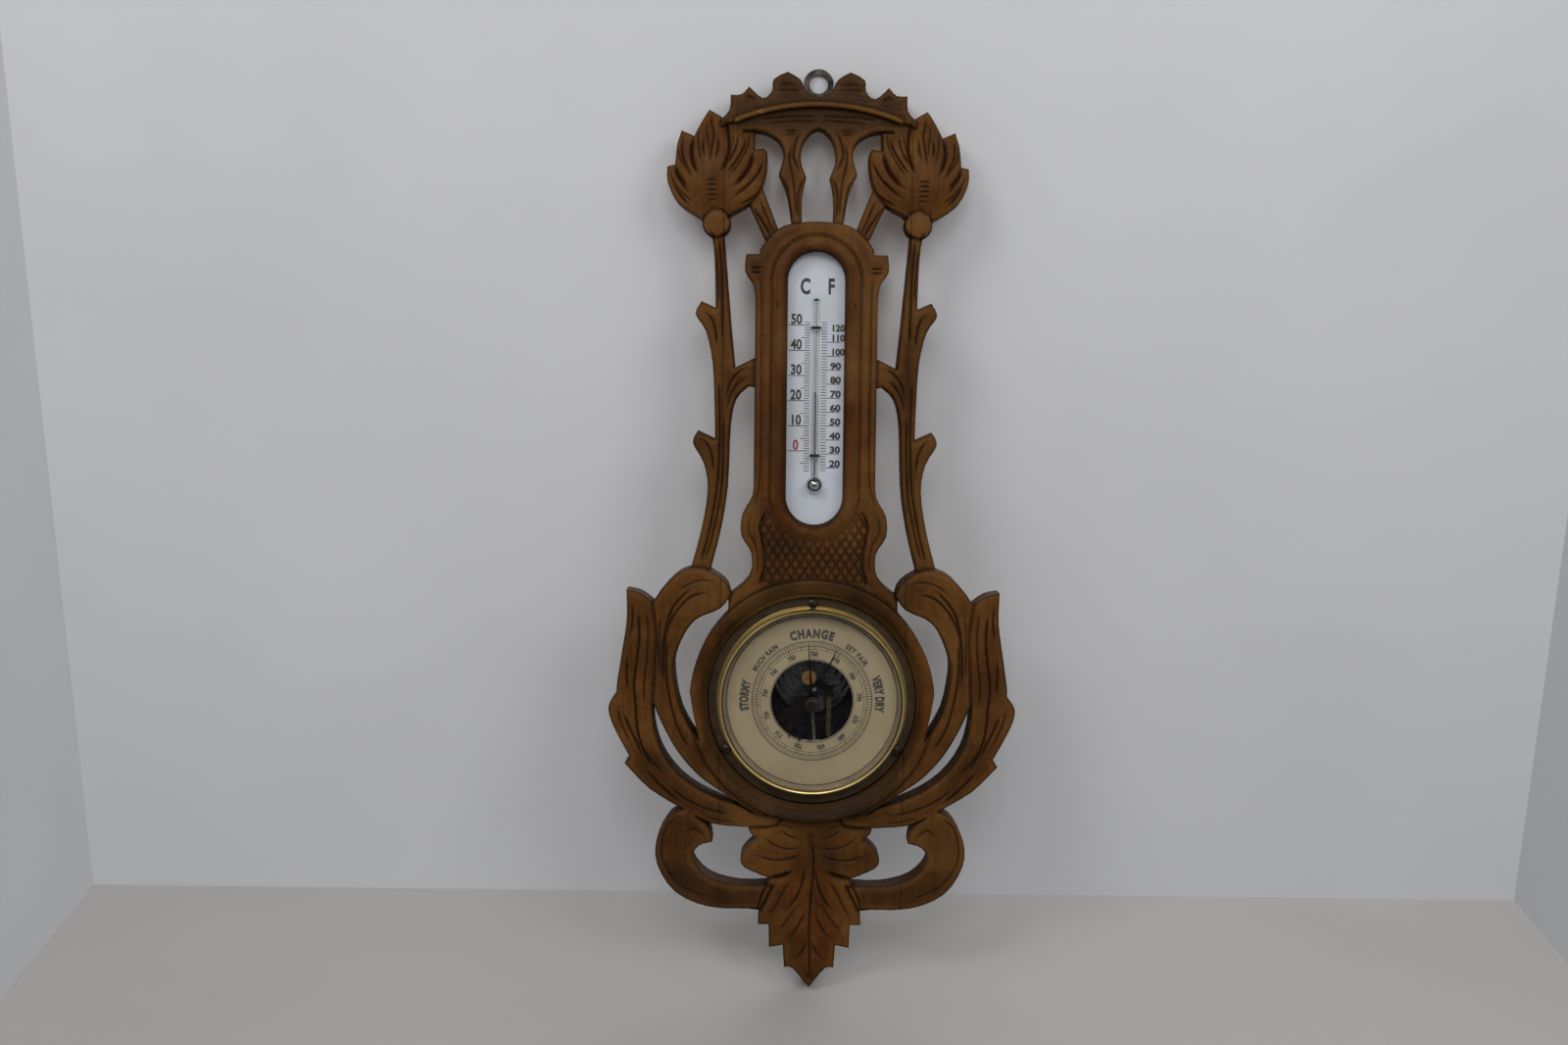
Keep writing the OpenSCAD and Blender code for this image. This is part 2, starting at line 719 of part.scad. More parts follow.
module case_cup() {
    inner = case_r - case_wall;
    color(STEEL) hung() at_dial() difference() {
        union() {
            translate([0, 0, floor_z]) cylinder(r = case_r, h = flange_top - floor_z);
            translate([0, 0, flange_z]) cylinder(r = flange_r, h = case_wall);
        }
        translate([0, 0, base_z]) cylinder(r = inner, h = CUT);
        for (a = RIM_ANGLES) rotate([0, 0, a]) translate([rim_screw_pcd_r, 0, 0])
            cylinder(r = screw_r + 0.05, h = CUT);
        translate([adjuster_at[0], adjuster_at[1], -1]) cylinder(r = adjuster_r + 2, h = CUT);
    }
}

bezel_foot_r = bezel_r + 1.5;

module bezel() {
    color(BRASS) hung() at_dial(flange_top) rotate_extrude() polygon([
        [glass_r + 0.1, 0], [bezel_foot_r, 0], [bezel_foot_r, 0.7], [bezel_foot_r - 0.4, 1],
        [bezel_r, 1], [bezel_r, bezel_h - 1.6], [bezel_r - 0.3, bezel_h - 0.6],
        [bezel_r - 1, bezel_h], [bezel_r - 1.7, bezel_h - 0.3],
        [glass_r - 0.8, bezel_h - bezel_lip_t + 0.2], [glass_r - 0.8, bezel_h - bezel_lip_t],
        [glass_r + 0.1, bezel_h - bezel_lip_t]
    ]);
}

module rim_screws() {
    color(STEEL) hung() at_dial(flange_top + 1) for (a = RIM_ANGLES) rotate([0, 0, a])
        translate([rim_screw_pcd_r, 0, 0]) wood_screw();
}

module glass() {
    color("azure", 0.35) hung() at_dial(glass_z)
        disc(glass_r, glass_t, set_spindle_r + run_gap);
}

module spacer_ring() {
    h = glass_z - dial_top;
    color(CREAM) hung() at_dial(dial_top) rotate_extrude() polygon([
        [dial_view_r, 0], [glass_r, 0], [glass_r, h], [glass_r - 0.9, h], [dial_view_r, 1]
    ]);
}

module dial() {
    color(CREAM) hung() at_dial(dial_z) disc(glass_r, dial_t, dial_hole_r);
}

PILLAR_ANGLES = [15, 165, 270];
pillar_r = 2;
pillar_at = base_r - 4;

module dial_pillars() {
    color(BRASS) hung() at_dial(base_top) for (a = PILLAR_ANGLES) rotate([0, 0, a])
        translate([pillar_at, 0, 0]) cylinder(r = pillar_r, h = dial_z - base_top);
}

// The movement stands on the base plate, in front of the case floor
spring_reach = base_r - spring_inset;
bridge_w = 6;
adjuster_at = [
    capsule_at[0] - (spring_reach - bridge_w / 2) * cos(spring_turn),
    capsule_at[1] - (spring_reach - bridge_w / 2) * sin(spring_turn)
];
adjuster_r = 1.6;

module base_plate() {
    color("dimgray") hung() at_dial(base_z) difference() {
        disc(base_r, base_t);
        translate([adjuster_at[0], adjuster_at[1], -1])
            cylinder(r = adjuster_r + run_gap, h = base_t + 2);
    }
}

// Two corrugated skins on a foot, with a boss on top
module capsule() {
    rings = [for (i = [0 : 4]) capsule_r * (0.36 + 0.13 * i)];
    wave = 0.5;
    top = capsule_t - wave;
    color("silver") hung() at_dial(base_top) translate([capsule_at[0], capsule_at[1], 0])
        rotate_extrude() polygon(concat(
            [[0, 0], [5, 0], [5, capsule_foot], [capsule_r - 1, capsule_foot],
                [capsule_r, capsule_foot + 1], [capsule_r, capsule_foot + top - 0.8]],
            [for (i = [4 : -1 : 0]) each [
                [rings[i] + capsule_r * 0.06, capsule_foot + top],
                [rings[i], capsule_foot + top + wave]]],
            [[capsule_r * 0.28, capsule_foot + top], [4, capsule_foot + top],
                [4, capsule_foot + capsule_t], [0, capsule_foot + capsule_t]]));
}

pillar_top_z = spring_top + 1.1;
capsule_post_r = 1.6;
knife_w = 0.8;

module capsule_pillar() {
    color(STEEL) hung() at_dial(capsule_top) translate([capsule_at[0], capsule_at[1], 0])
        difference() {
            cylinder(r = capsule_post_r, h = pillar_top_z - capsule_top);
            translate([-5, -knife_w / 2 - eps, spring_top - capsule_top])
                cube([10, knife_w + 2 * eps, knife_w]);
        }
}

module knife_edge() {
    color(STEEL) hung() at_dial(spring_top + eps) translate([capsule_at[0], capsule_at[1], 0])
        translate([-3.6, -knife_w / 2, 0]) cube([7.2, knife_w, knife_w - 2 * eps]);
}

spring_end = 12;
spring_slot_r = capsule_post_r + 0.5;
collar_at = [-1.6, 12.3];
collar_r = 3.9;

// Puts its children on the main spring's line, with x along the leaf
module on_spring(z) {
    translate([capsule_at[0], capsule_at[1], z]) rotate([0, 0, spring_turn]) children();
}

module main_spring() {
    color(STEEL) hung() at_dial() difference() {
        on_spring(spring_z) {
            translate([-spring_reach, -spring_w / 2, 0]) cube([spring_reach + spring_end, spring_w,
                spring_t]);
        }
        translate([capsule_at[0], capsule_at[1], spring_z - 1])
            cylinder(r = spring_slot_r, h = spring_t + 2);
        translate([collar_at[0], collar_at[1], spring_z - 1])
            cylinder(r = collar_shank_r, h = spring_t + 2);
        for (y = [-1, 1]) on_spring(spring_z - 1) translate([-spring_reach + 3, y * 4, 0])
            cylinder(r = bridge_screw_r, h = spring_t + 2);
    }
}

bridge_screw_r = 1;

module spring_bridge() {
    color(BRASS) hung() at_dial() difference() {
        on_spring(base_top) translate([-spring_reach, -spring_w / 2, 0])
            cube([bridge_w, spring_w, spring_z - base_top]);
        for (y = [-1, 1]) on_spring(base_top) translate([-spring_reach + 3, y * 4, 2])
            cylinder(r = bridge_screw_r, h = CUT);
        translate([adjuster_at[0], adjuster_at[1], base_top - 1])
            cylinder(r = adjuster_r + run_gap, h = adjuster_in + 1.3);
    }
}

module bridge_screws() {
    color(STEEL) hung() at_dial() for (y = [-1, 1]) on_spring(spring_top)
        translate([-spring_reach + 3, y * 4, 0]) {
            cylinder(r = 1.8, h = 1);
            translate([0, 0, base_top + 2 - spring_top])
                cylinder(r = bridge_screw_r, h = spring_top - base_top - 2);
        }
}

collar_shank_r = 1;
lever_pin_r = 0.2;
lever_eye_r = 2.1;

// A round bar across the collar's shank, on which the lever tilts
module lever_pivot(r, long) {
    translate([-long / 2, 0, lever_z + lever_t / 2]) rotate([0, 90, 0]) cylinder(r = r, h = long);
}

// Brass collar with the throw screw, and the pin that carries the lever
module spring_collar() {
    collar_z = lever_z + lever_t + 0.6;
    color(BRASS) hung() at_dial() translate([collar_at[0], collar_at[1], 0]) {
        translate([0, 0, collar_z]) disc(collar_r, 1.2, collar_r - 1.3);
        translate([0, 0, spring_z]) cylinder(r = collar_shank_r, h = collar_z + 0.2 - spring_z);
        lever_pivot(lever_pin_r, 2 * lever_eye_r - 0.4);
        difference() {
            translate([0, 0, collar_z]) cylinder(r = collar_r - 1, h = 0.6);
            translate([-collar_r, -0.3, collar_z + 0.3]) cube([2 * collar_r - 2, 0.6, 1]);
        }
    }
}

lever_x = 9.3;
lever_w = 2.5;
lever_end_y = -rock_drop + link_arm;

module lever_arm() {
    color(BRASS) hung() at_dial() difference() {
        translate([0, 0, lever_z]) {
            round_bar(collar_at, [lever_x, 6], 2 * lever_eye_r, lever_t);
            round_bar([lever_x, 6], [lever_x, lever_end_y], lever_w, lever_t);
        }
        translate([collar_at[0], collar_at[1], lever_z - 1])
            cylinder(r = collar_shank_r + 0.3, h = 3);
        translate([collar_at[0], collar_at[1], 0])
            lever_pivot(lever_pin_r + run_gap, 2 * lever_eye_r + 0.4);
    }
}

link_t = 0.7;
pin_r = 0.35;
link_slack = 0.35;

// A flat eye that hangs from the lever's end and takes the rocking shaft's pin
module lever_link() {
    low = rock_z - pin_r - link_slack - 0.4;
    color(STEEL) hung() at_dial() difference() {
        translate([lever_x - link_t / 2, lever_end_y - 1.8, low])
            cube([link_t, 3.6, lever_z - low]);
        translate([lever_x - 2, lever_end_y - 1.2, rock_z - pin_r - link_slack])
            cube([4, 2.4, 2 * (pin_r + link_slack)]);
    }
}

shaft_x = [-14, 16];
chain_x = -drum_r;

module rocking_shaft() {
    arm_t = 0.8;
    color(STEEL) hung() at_dial() translate([0, -rock_drop, rock_z]) {
        translate([shaft_x[0], 0, 0]) rotate([0, 90, 0])
            cylinder(r = rock_r, h = shaft_x[1] - shaft_x[0]);
        translate([lever_x + link_t / 2 + 0.3, -0.7, -0.7]) cube([arm_t, link_arm + 1.4, 1.4]);
        translate([lever_x - link_t / 2 - 0.3, link_arm, 0]) rotate([0, 90, 0])
            cylinder(r = pin_r, h = link_t + 1);
        translate([chain_x - 0.8, -0.5, 0]) cube([1.6, 1, chain_arm - 0.4]);
        translate([chain_x - 0.8, 0, chain_arm - 0.4]) rotate([0, 90, 0])
            cylinder(r = 0.5, h = 1.6);
    }
}

module shaft_brackets() {
    color(BRASS) hung() at_dial() for (x = [shaft_x[0] - 0.4, shaft_x[1] - 1.6]) difference() {
        translate([x, -rock_drop - 3, base_top]) cube([2, 6, rock_z + 2.5 - base_top]);
        translate([x - 1, -rock_drop, rock_z]) rotate([0, 90, 0])
            cylinder(r = rock_r + run_gap, h = 4);
    }
}

chain_w = 0.3;

// The fusee-like chain from the arm's top to the drum, as short links
module chain() {
    first = -rock_drop + 0.8;
    last = -0.2;
    links = 18;
    pitch = (last - first) / links;
    color(STEEL) hung() at_dial() for (i = [0 : links - 1])
        translate([chain_x - 0.06 - (i % 2 == 0 ? chain_w : chain_w / 2),
            first + i * pitch, chain_z - (i % 2 == 0 ? 0.15 : chain_w)])
            cube([i % 2 == 0 ? chain_w : chain_w / 2, pitch, i % 2 == 0 ? 0.3 : 2 * chain_w]);
}

bridge_foot = [-29, -19];
bridge_z = capsule_top + 0.8;
bridge_t = 1;

module spindle_bridge() {
    color(BRASS) hung() at_dial() difference() {
        union() {
            translate([0, 0, bridge_z]) round_bar(bridge_foot, [0, 0], 5, bridge_t);
            translate([bridge_foot[0], bridge_foot[1], base_top])
                cylinder(r = 2.1, h = bridge_z - base_top + eps);
        }
        translate([0, 0, bridge_z - 1]) cylinder(r = spindle_r + run_gap, h = bridge_t + 2);
    }
}

cock_foot = [-23, -27];

module upper_cock() {
    color(BRASS) hung() at_dial() difference() {
        union() {
            translate([0, 0, cock_z]) round_bar(cock_foot, [0, 0], 4.4, cock_t);
            translate([cock_foot[0], cock_foot[1], base_top])
                cylinder(r = 1.8, h = cock_z - base_top + eps);
            translate([-hair_out * sin(hair_stud), -hair_out * cos(hair_stud), hair_z])
                cylinder(r = 0.5, h = cock_z - hair_z + eps);
        }
        translate([0, 0, cock_z - 1]) cylinder(r = spindle_r + run_gap, h = cock_t + 2);
    }
}

module pointer_spindle() {
    color(STEEL) hung() at_dial() {
        translate([0, 0, bridge_z]) cylinder(r = spindle_r, h = pointer_z + hand_t + 0.8 - bridge_z);
        translate([0, 0, drum_z]) cylinder(r = drum_r, h = drum_l);
    }
}

hair_in = spindle_r + 0.15;
hair_out = 4.4;
hair_stud = 40;
hair_t = 0.16;

// A spiral strip from the spindle out to the stud under the upper cock
module hairspring() {
    steps = hair_turns * 16;
    function spot(i, off) =
        let (r = hair_in + (hair_out - hair_in - 0.5) * i / steps + off,
            a = -90 - hair_stud - 360 * hair_turns * (steps - i) / steps)
        [r * cos(a), r * sin(a)];
    color(BLUED) hung() at_dial(hair_z) linear_extrude(hair_h) polygon(concat(
        [for (i = [0 : steps]) spot(i, 0)],
        [for (i = [steps : -1 : 0]) spot(i, hair_t)]));
}

// A hand's blade: half width a at the centre, b at the shoulder and c at the tail's end
module blade(long, shoulder, tail, a, b, c) {
    tip = 0.12;
    linear_extrude(hand_t) polygon([[-a, 0], [-b, shoulder], [-tip, long], [tip, long],
        [b, shoulder], [a, 0], [c, -tail], [-c, -tail]]);
}

moon_r = 3.3;
moon_horn = 1.5;
pointer_shoulder = 12;
set_shoulder = 14;

// The crescent at the end of the indicating hand's tail
module crescent() {
    difference() {
        cylinder(r = moon_r, h = hand_t);
        translate([0, -0.9, -1]) cylinder(r = moon_r - 0.45, h = hand_t + 2);
        translate([-2 * moon_r, -moon_horn - 2 * moon_r, -1])
            cube([4 * moon_r, 2 * moon_r, hand_t + 2]);
    }
}

module pointer() {
    color(BLUED) hung() at_dial(pointer_z) rotate([0, 0, -pointer_turn]) difference() {
        union() {
            blade(pointer_l, pointer_shoulder, pointer_tail, 1.1, 0.75, 0.55);
            cylinder(r = 3, h = hand_t);
            cylinder(r = 1.6, h = hand_t + 0.6);
            translate([0, -pointer_tail - moon_r + 0.5, 0]) crescent();
        }
        translate([0, 0, -1]) cylinder(r = spindle_r, h = 3);
    }
}

module set_hand() {
    color(BRASS) hung() at_dial(set_hand_z) rotate([0, 0, -set_turn]) difference() {
        union() {
            blade(set_hand_l, set_shoulder, set_tail, 0.9, 0.5, 0.7);
            cylinder(r = 3.2, h = hand_t);
            cylinder(r = 2.4, h = glass_z - set_hand_z - 0.3);
        }
        translate([0, 0, -1]) cylinder(r = set_spindle_r, h = 4);
    }
}

// The knob in front of the glass, in one piece with the set hand's spindle
module set_spindle() {
    knob_z = glass_top + 0.3;
    color(BRONZE) hung() at_dial() {
        translate([0, 0, set_hand_z]) cylinder(r = set_spindle_r, h = knob_z - set_hand_z);
        translate([0, 0, knob_z]) rotate_extrude() polygon([
            [0, 0], [knob_r * 0.8, 0], [knob_r * 0.8, 0.6], [knob_r * 0.5, 1.2],
            [knob_r * 0.45, 2.6], [knob_r * 0.8, 3.2], [knob_r, 4], [knob_r, knob_l - 1],
            [knob_r * 0.85, knob_l - 0.3], [knob_r * 0.6, knob_l], [0, knob_l]
        ]);
    }
}

adjuster_in = 3;

// Slotted screw at the back that sets the hand to the day's pressure
module adjusting_screw() {
    color(BRASS) hung() at_dial() translate([adjuster_at[0], adjuster_at[1], 0]) difference() {
        translate([0, 0, floor_z]) cylinder(r = adjuster_r, h = base_top + adjuster_in - floor_z);
        translate([-adjuster_r - 1, -0.4, floor_z - 1]) cube([2 * adjuster_r + 2, 0.8, 2]);
    }
}

centre_board();
left_wing();
right_wing();
hanger_plate();
hanger_screws();
thermometer_plate();
thermometer_packing();
thermometer_backing();
backing_screws();
thermometer_tube();
thermometer_liquid();
tube_ties();
case_cup();
bezel();
rim_screws();
glass();
spacer_ring();
dial();
dial_pillars();
base_plate();
capsule();
capsule_pillar();
knife_edge();
main_spring();
spring_bridge();
bridge_screws();
spring_collar();
lever_arm();
lever_link();
rocking_shaft();
shaft_brackets();
chain();
spindle_bridge();
upper_cock();
pointer_spindle();
hairspring();
pointer();
set_hand();
set_spindle();
adjusting_screw();
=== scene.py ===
# %% [markdown]
# # A carved wooden wall barometer
# This lesson dresses a finished CAD model: a carved board with a thermometer in a beaded slot
# and an open-centred aneroid barometer below it. The CAD model holds every part at its true
# size. Blender adds what a drawing can't: chisel cuts, worn edges, print, wire and finish.

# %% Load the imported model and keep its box
import json
import math
import bpy
import bmesh
import numpy as np
from mathutils import Matrix, Vector
from mathutils.bvhtree import BVHTree
from mathutils.geometry import delaunay_2d_cdt
from mathutils.kdtree import KDTree

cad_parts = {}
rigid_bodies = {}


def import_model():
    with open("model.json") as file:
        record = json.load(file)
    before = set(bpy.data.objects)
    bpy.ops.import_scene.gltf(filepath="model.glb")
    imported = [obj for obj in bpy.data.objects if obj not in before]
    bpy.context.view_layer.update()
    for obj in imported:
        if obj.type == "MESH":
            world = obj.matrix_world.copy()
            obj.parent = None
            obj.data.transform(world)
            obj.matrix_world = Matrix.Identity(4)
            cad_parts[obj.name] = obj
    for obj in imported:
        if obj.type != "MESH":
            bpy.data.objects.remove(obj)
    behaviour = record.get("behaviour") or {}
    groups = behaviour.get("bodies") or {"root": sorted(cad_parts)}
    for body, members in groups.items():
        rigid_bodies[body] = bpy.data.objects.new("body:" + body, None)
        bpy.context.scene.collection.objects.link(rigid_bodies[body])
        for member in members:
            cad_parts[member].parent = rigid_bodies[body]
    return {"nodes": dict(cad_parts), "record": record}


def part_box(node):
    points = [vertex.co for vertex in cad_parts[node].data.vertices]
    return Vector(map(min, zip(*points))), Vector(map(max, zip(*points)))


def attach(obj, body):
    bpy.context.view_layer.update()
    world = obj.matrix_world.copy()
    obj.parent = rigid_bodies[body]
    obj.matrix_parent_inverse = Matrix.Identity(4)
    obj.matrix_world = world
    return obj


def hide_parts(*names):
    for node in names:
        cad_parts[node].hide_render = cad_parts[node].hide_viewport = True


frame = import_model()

for name in [o.name for o in bpy.data.objects if o.name in ("Cube", "Light", "Camera")]:
    bpy.data.objects.remove(bpy.data.objects[name])
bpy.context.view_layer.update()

# %% [markdown]
# Everything is planned in millimetres on the face of the board: x to the right, y up, and h
# out of the wall. One small function turns that into Blender's metres, where the wall is the
# plane y = 0 and the face looks along -Y.

# %% Face coordinates
MM = 0.001
DIAL_Y = -333.0


def face(x, y, h):
    return Vector((x * MM, -h * MM, y * MM))


def node_box(node):
    low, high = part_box(node)
    return [c / MM for c in low], [c / MM for c in high]


dial_front = -node_box("dial")[0][1]
plate_front = -node_box("thermometer_plate")[0][1]
print("dial face at", round(dial_front, 2), "mm, thermometer plate at", round(plate_front, 2))

# %% [markdown]
# ## The camera
# The photograph was taken from about 0.94 m away with the barometer leaning on a back wall,
# so seen from the board the camera looks a little down and is turned by half a degree.

# %% Camera
FOCAL_PIXELS = 1750
PICTURE_WIDTH = 1600
SENSOR = 36
TILT = math.radians(4.3)
ROLL = math.radians(-0.62)
CAMERA_AT = Vector((-0.0162, -0.9409, -0.1663))

ahead = Vector((0, math.cos(TILT), -math.sin(TILT)))
level = Vector((1, 0, 0))
below = ahead.cross(level)
right = math.cos(ROLL) * level + math.sin(ROLL) * below
down = math.cos(ROLL) * below - math.sin(ROLL) * level
turn = Matrix((right, -down, -ahead)).transposed().to_4x4()
camera_data = bpy.data.cameras.new("camera")
camera_data.sensor_width = SENSOR
camera_data.lens = FOCAL_PIXELS * SENSOR / PICTURE_WIDTH
camera_data.clip_start = 0.01
camera = bpy.data.objects.new("camera", camera_data)
bpy.context.collection.objects.link(camera)
camera.matrix_world = Matrix.Translation(CAMERA_AT) @ turn
bpy.context.scene.camera = camera
print("lens", round(camera_data.lens, 2), "mm")

# %% [markdown]
# ## Small tools for shader nodes
# A material is a graph. `add` makes one node and feeds its sockets, either with a value or
# with another node's output, so that a whole graph reads from top to bottom. `calc`, `mixed`,
# `span` and `noise` make the nodes that come back again and again, and hand on their output.

# %% Node helpers
def feed(tree, node, key, value):
    if isinstance(value, bpy.types.NodeSocket):
        tree.links.new(value, node.inputs[key])
    else:
        node.inputs[key].default_value = value


def add(tree, kind, sockets=None, **settings):
    node = tree.nodes.new("ShaderNode" + kind)
    for key, value in settings.items():
        setattr(node, key, value)
    for key, value in (sockets or {}).items():
        feed(tree, node, key, value)
    return node


def calc(tree, operation, a, b=0.0, clamp=False):
    return add(tree, "Math", {0: a, 1: b}, operation=operation, use_clamp=clamp).outputs[0]


def times(tree, a, b):
    return calc(tree, "MULTIPLY", a, b, clamp=True)


def mixed(tree, factor, a, b, how="MIX"):
    node = add(tree, "Mix", {0: factor, 6: a, 7: b}, data_type="RGBA", blend_type=how)
    return node.outputs[2]


def span(tree, value, low, high, to_low=0.0, to_high=1.0):
    return add(tree, "MapRange", {0: value, 1: low, 2: high, 3: to_low, 4: to_high}).outputs[0]


def object_place(tree):
    return add(tree, "TexCoord").outputs["Object"]


def noise(tree, where, scale, detail, roughness=0.5):
    return add(tree, "TexNoise", {"Vector": where, "Scale": scale, "Detail": detail,
                                  "Roughness": roughness}).outputs[0]


def paint(r, g, b):
    return (r, g, b, 1.0)


print("helpers ready")

# %% [markdown]
# A node group is a graph of its own, with named sockets, that several materials can share.
# A new material starts with the one shader that nearly every real surface can be made with.

# %% Groups and materials
def new_group(name, inputs, outputs):
    tree = bpy.data.node_groups.new(name, "ShaderNodeTree")
    for label, kind in inputs:
        tree.interface.new_socket(label, in_out="INPUT", socket_type="NodeSocket" + kind)
    for label, kind in outputs:
        tree.interface.new_socket(label, in_out="OUTPUT", socket_type="NodeSocket" + kind)
    print(name, "has the sockets", [s.name for s in tree.interface.items_tree])
    return tree, tree.nodes.new("NodeGroupInput").outputs, tree.nodes.new("NodeGroupOutput")


def use(tree, group, **values):
    node = tree.nodes.new("ShaderNodeGroup")
    node.node_tree = group
    for key, value in values.items():
        feed(tree, node, key, value)
    return node.outputs


def new_material(name):
    material = bpy.data.materials.new(name)
    material.use_nodes = True
    tree = material.node_tree
    tree.nodes.clear()
    shader = add(tree, "BsdfPrincipled")
    output = add(tree, "OutputMaterial", {0: shader.outputs[0]})
    return material, tree, shader, output


def shader_of(tree):
    return [n for n in tree.nodes if n.type == "BSDF_PRINCIPLED"][0]


def rough_up(tree, height, strength, distance):
    """Feed the shader's normal with a bump of this height."""
    bump = add(tree, "Bump", {"Height": height, "Strength": strength, "Distance": distance})
    feed(tree, shader_of(tree), "Normal", bump.outputs[0])


print("groups and materials can be made")

# %% [markdown]
# ## Wall and floor
# The barometer leans in the corner of a pale box. The box is only for the camera and for
# reflections: light passes it, so the back of the board is lit as well when it is looked at.
# Each sheet shows only from its front, so a view from behind looks through it.

# %% Stage
LEAN = Vector((0, -0.98, -0.199)).normalized()
RISE = Vector((0, -0.199, 0.98)).normalized()
CORNER = Vector((0, 0.0978, -0.4732))
TALL = 0.86
DEEP = 1.3
LEFT_X, RIGHT_X = -0.44, 0.437
WALL_COLOUR = paint(0.575, 0.575, 0.59)
FLOOR_COLOUR = paint(0.355, 0.345, 0.33)


def stage_sheet(name, corners, colour):
    bm = bmesh.new()
    bm.faces.new([bm.verts.new(CORNER + Vector((x, 0, 0)) + LEAN * out + RISE * up)
                  for x, out, up in corners])
    bmesh.ops.subdivide_edges(bm, edges=bm.edges, cuts=3, use_grid_fill=True)
    mesh = bpy.data.meshes.new(name)
    bm.to_mesh(mesh)
    bm.free()
    sheet = bpy.data.objects.new(name, mesh)
    bpy.context.collection.objects.link(sheet)
    material, tree, shader, output = new_material(name + "_paint")
    tint = span(tree, noise(tree, object_place(tree), 6.0, 4.0), 0.3, 0.7, 0.97, 1.03)
    feed(tree, shader, "Base Color", mixed(tree, 1.0, colour, tint, "MULTIPLY"))
    shader.inputs["Roughness"].default_value = 0.7
    ray = add(tree, "LightPath").outputs
    seen = calc(tree, "MAXIMUM", ray["Is Camera Ray"], ray["Is Glossy Ray"])
    seen = calc(tree, "MAXIMUM", seen, ray["Is Transmission Ray"])
    back = add(tree, "NewGeometry").outputs["Backfacing"]
    shown = calc(tree, "MULTIPLY", seen, calc(tree, "SUBTRACT", 1.0, back))
    clear = add(tree, "BsdfTransparent").outputs[0]
    lit = add(tree, "MixShader", {0: shown, 1: clear, 2: shader.outputs[0]})
    feed(tree, output, 0, lit.outputs[0])
    mesh.materials.append(material)


for name, corners, colour in (
        ("back_wall", ((LEFT_X, 0, 0), (RIGHT_X, 0, 0), (RIGHT_X, 0, TALL), (LEFT_X, 0, TALL)),
         WALL_COLOUR),
        ("floor", ((LEFT_X, DEEP, 0), (RIGHT_X, DEEP, 0), (RIGHT_X, 0, 0), (LEFT_X, 0, 0)),
         FLOOR_COLOUR),
        ("left_wall", ((LEFT_X, DEEP, 0), (LEFT_X, 0, 0), (LEFT_X, 0, TALL), (LEFT_X, DEEP, TALL)),
         WALL_COLOUR),
        ("right_wall", ((RIGHT_X, 0, 0), (RIGHT_X, DEEP, 0), (RIGHT_X, DEEP, TALL),
                        (RIGHT_X, 0, TALL)), WALL_COLOUR)):
    stage_sheet(name, corners, colour)
print("stage corner at", [round(c, 3) for c in CORNER])

# %% [markdown]
# ## Light
# Soft light from all round gives each colour about as it is written. One large lamp high on
# the left models the carving, a smaller one fills in from the right, one stands in front for
# the movement, and one behind the wall is there for views of the back. Reflections see a dim
# room instead of the bright sky, because a bright one lays a grey veil over glass and wax.

# %% World and lamps
SKY_ABOVE, SKY_BELOW = paint(0.47, 0.48, 0.495), paint(0.30, 0.30, 0.30)
ROOM_ABOVE, ROOM_BELOW = paint(0.055, 0.055, 0.058), paint(0.02, 0.02, 0.02)
# Each lamp: (name, place, width in metres, watts)
LAMPS = (("key_lamp", (-0.65, -1.0, 0.65), 0.5, 5.4), ("fill_lamp", (0.7, -1.05, 0.4), 0.55, 4.0),
         ("front_lamp", (0.0, -1.35, 0.45), 0.5, 4.8), ("back_lamp", (0.5, 1.2, 0.6), 0.9, 6.0))
LAMPS_AIM = Vector((0, 0, -0.25))

world = bpy.data.worlds.new("studio")
world.use_nodes = True
bpy.context.scene.world = world
tree = world.node_tree
tree.nodes.clear()
height = add(tree, "SeparateXYZ", {0: add(tree, "TexCoord").outputs["Generated"]}).outputs[2]
rise = span(tree, height, -1.0, 1.0)
mirrored = add(tree, "LightPath").outputs["Is Glossy Ray"]
sky = mixed(tree, mirrored, mixed(tree, rise, SKY_BELOW, SKY_ABOVE),
            mixed(tree, rise, ROOM_BELOW, ROOM_ABOVE))
add(tree, "OutputWorld", {0: add(tree, "Background", {0: sky, 1: 1.0}).outputs[0]})

for name, at, width, watts in LAMPS:
    data = bpy.data.lights.new(name, "AREA")
    data.shape = "SQUARE"
    data.size = width
    data.energy = watts
    lamp = bpy.data.objects.new(name, data)
    bpy.context.collection.objects.link(lamp)
    lamp.location = at
    lamp.rotation_euler = (LAMPS_AIM - Vector(at)).to_track_quat("-Z", "Y").to_euler()
bpy.context.scene.view_settings.view_transform = "Standard"

# %% [markdown]
# ## Wood as a shader group
# Grain runs up the board, so the noise is squeezed across it: broad figure, narrow streaks and
# short pores come from the same noise at three widths. The oak and the plain backing board
# share the group and give it their own colours.

# %% Wood grain group
wood, wood_in, wood_out = new_group(
    "wood_grain", [("Dark", "Color"), ("Light", "Color"), ("Fineness", "Float")],
    [("Color", "Color"), ("Height", "Float"), ("Patch", "Float"), ("Streak", "Float")])
where = object_place(wood)
warp = add(wood, "TexNoise", {"Vector": where, "Scale": 18.0, "Detail": 2.0}).outputs["Color"]
bent = add(wood, "VectorMath", {0: warp, 1: (0.006, 0.006, 0.02)}, operation="MULTIPLY").outputs[0]
bent = add(wood, "VectorMath", {0: where, 1: bent}, operation="ADD").outputs[0]


def along_grain(squeeze, scale, detail):
    drawn = add(wood, "Mapping", {"Vector": bent, "Scale": (1.0, 1.0, squeeze)}).outputs[0]
    size = calc(wood, "MULTIPLY", wood_in["Fineness"], scale)
    return noise(wood, drawn, size, detail, 0.55)


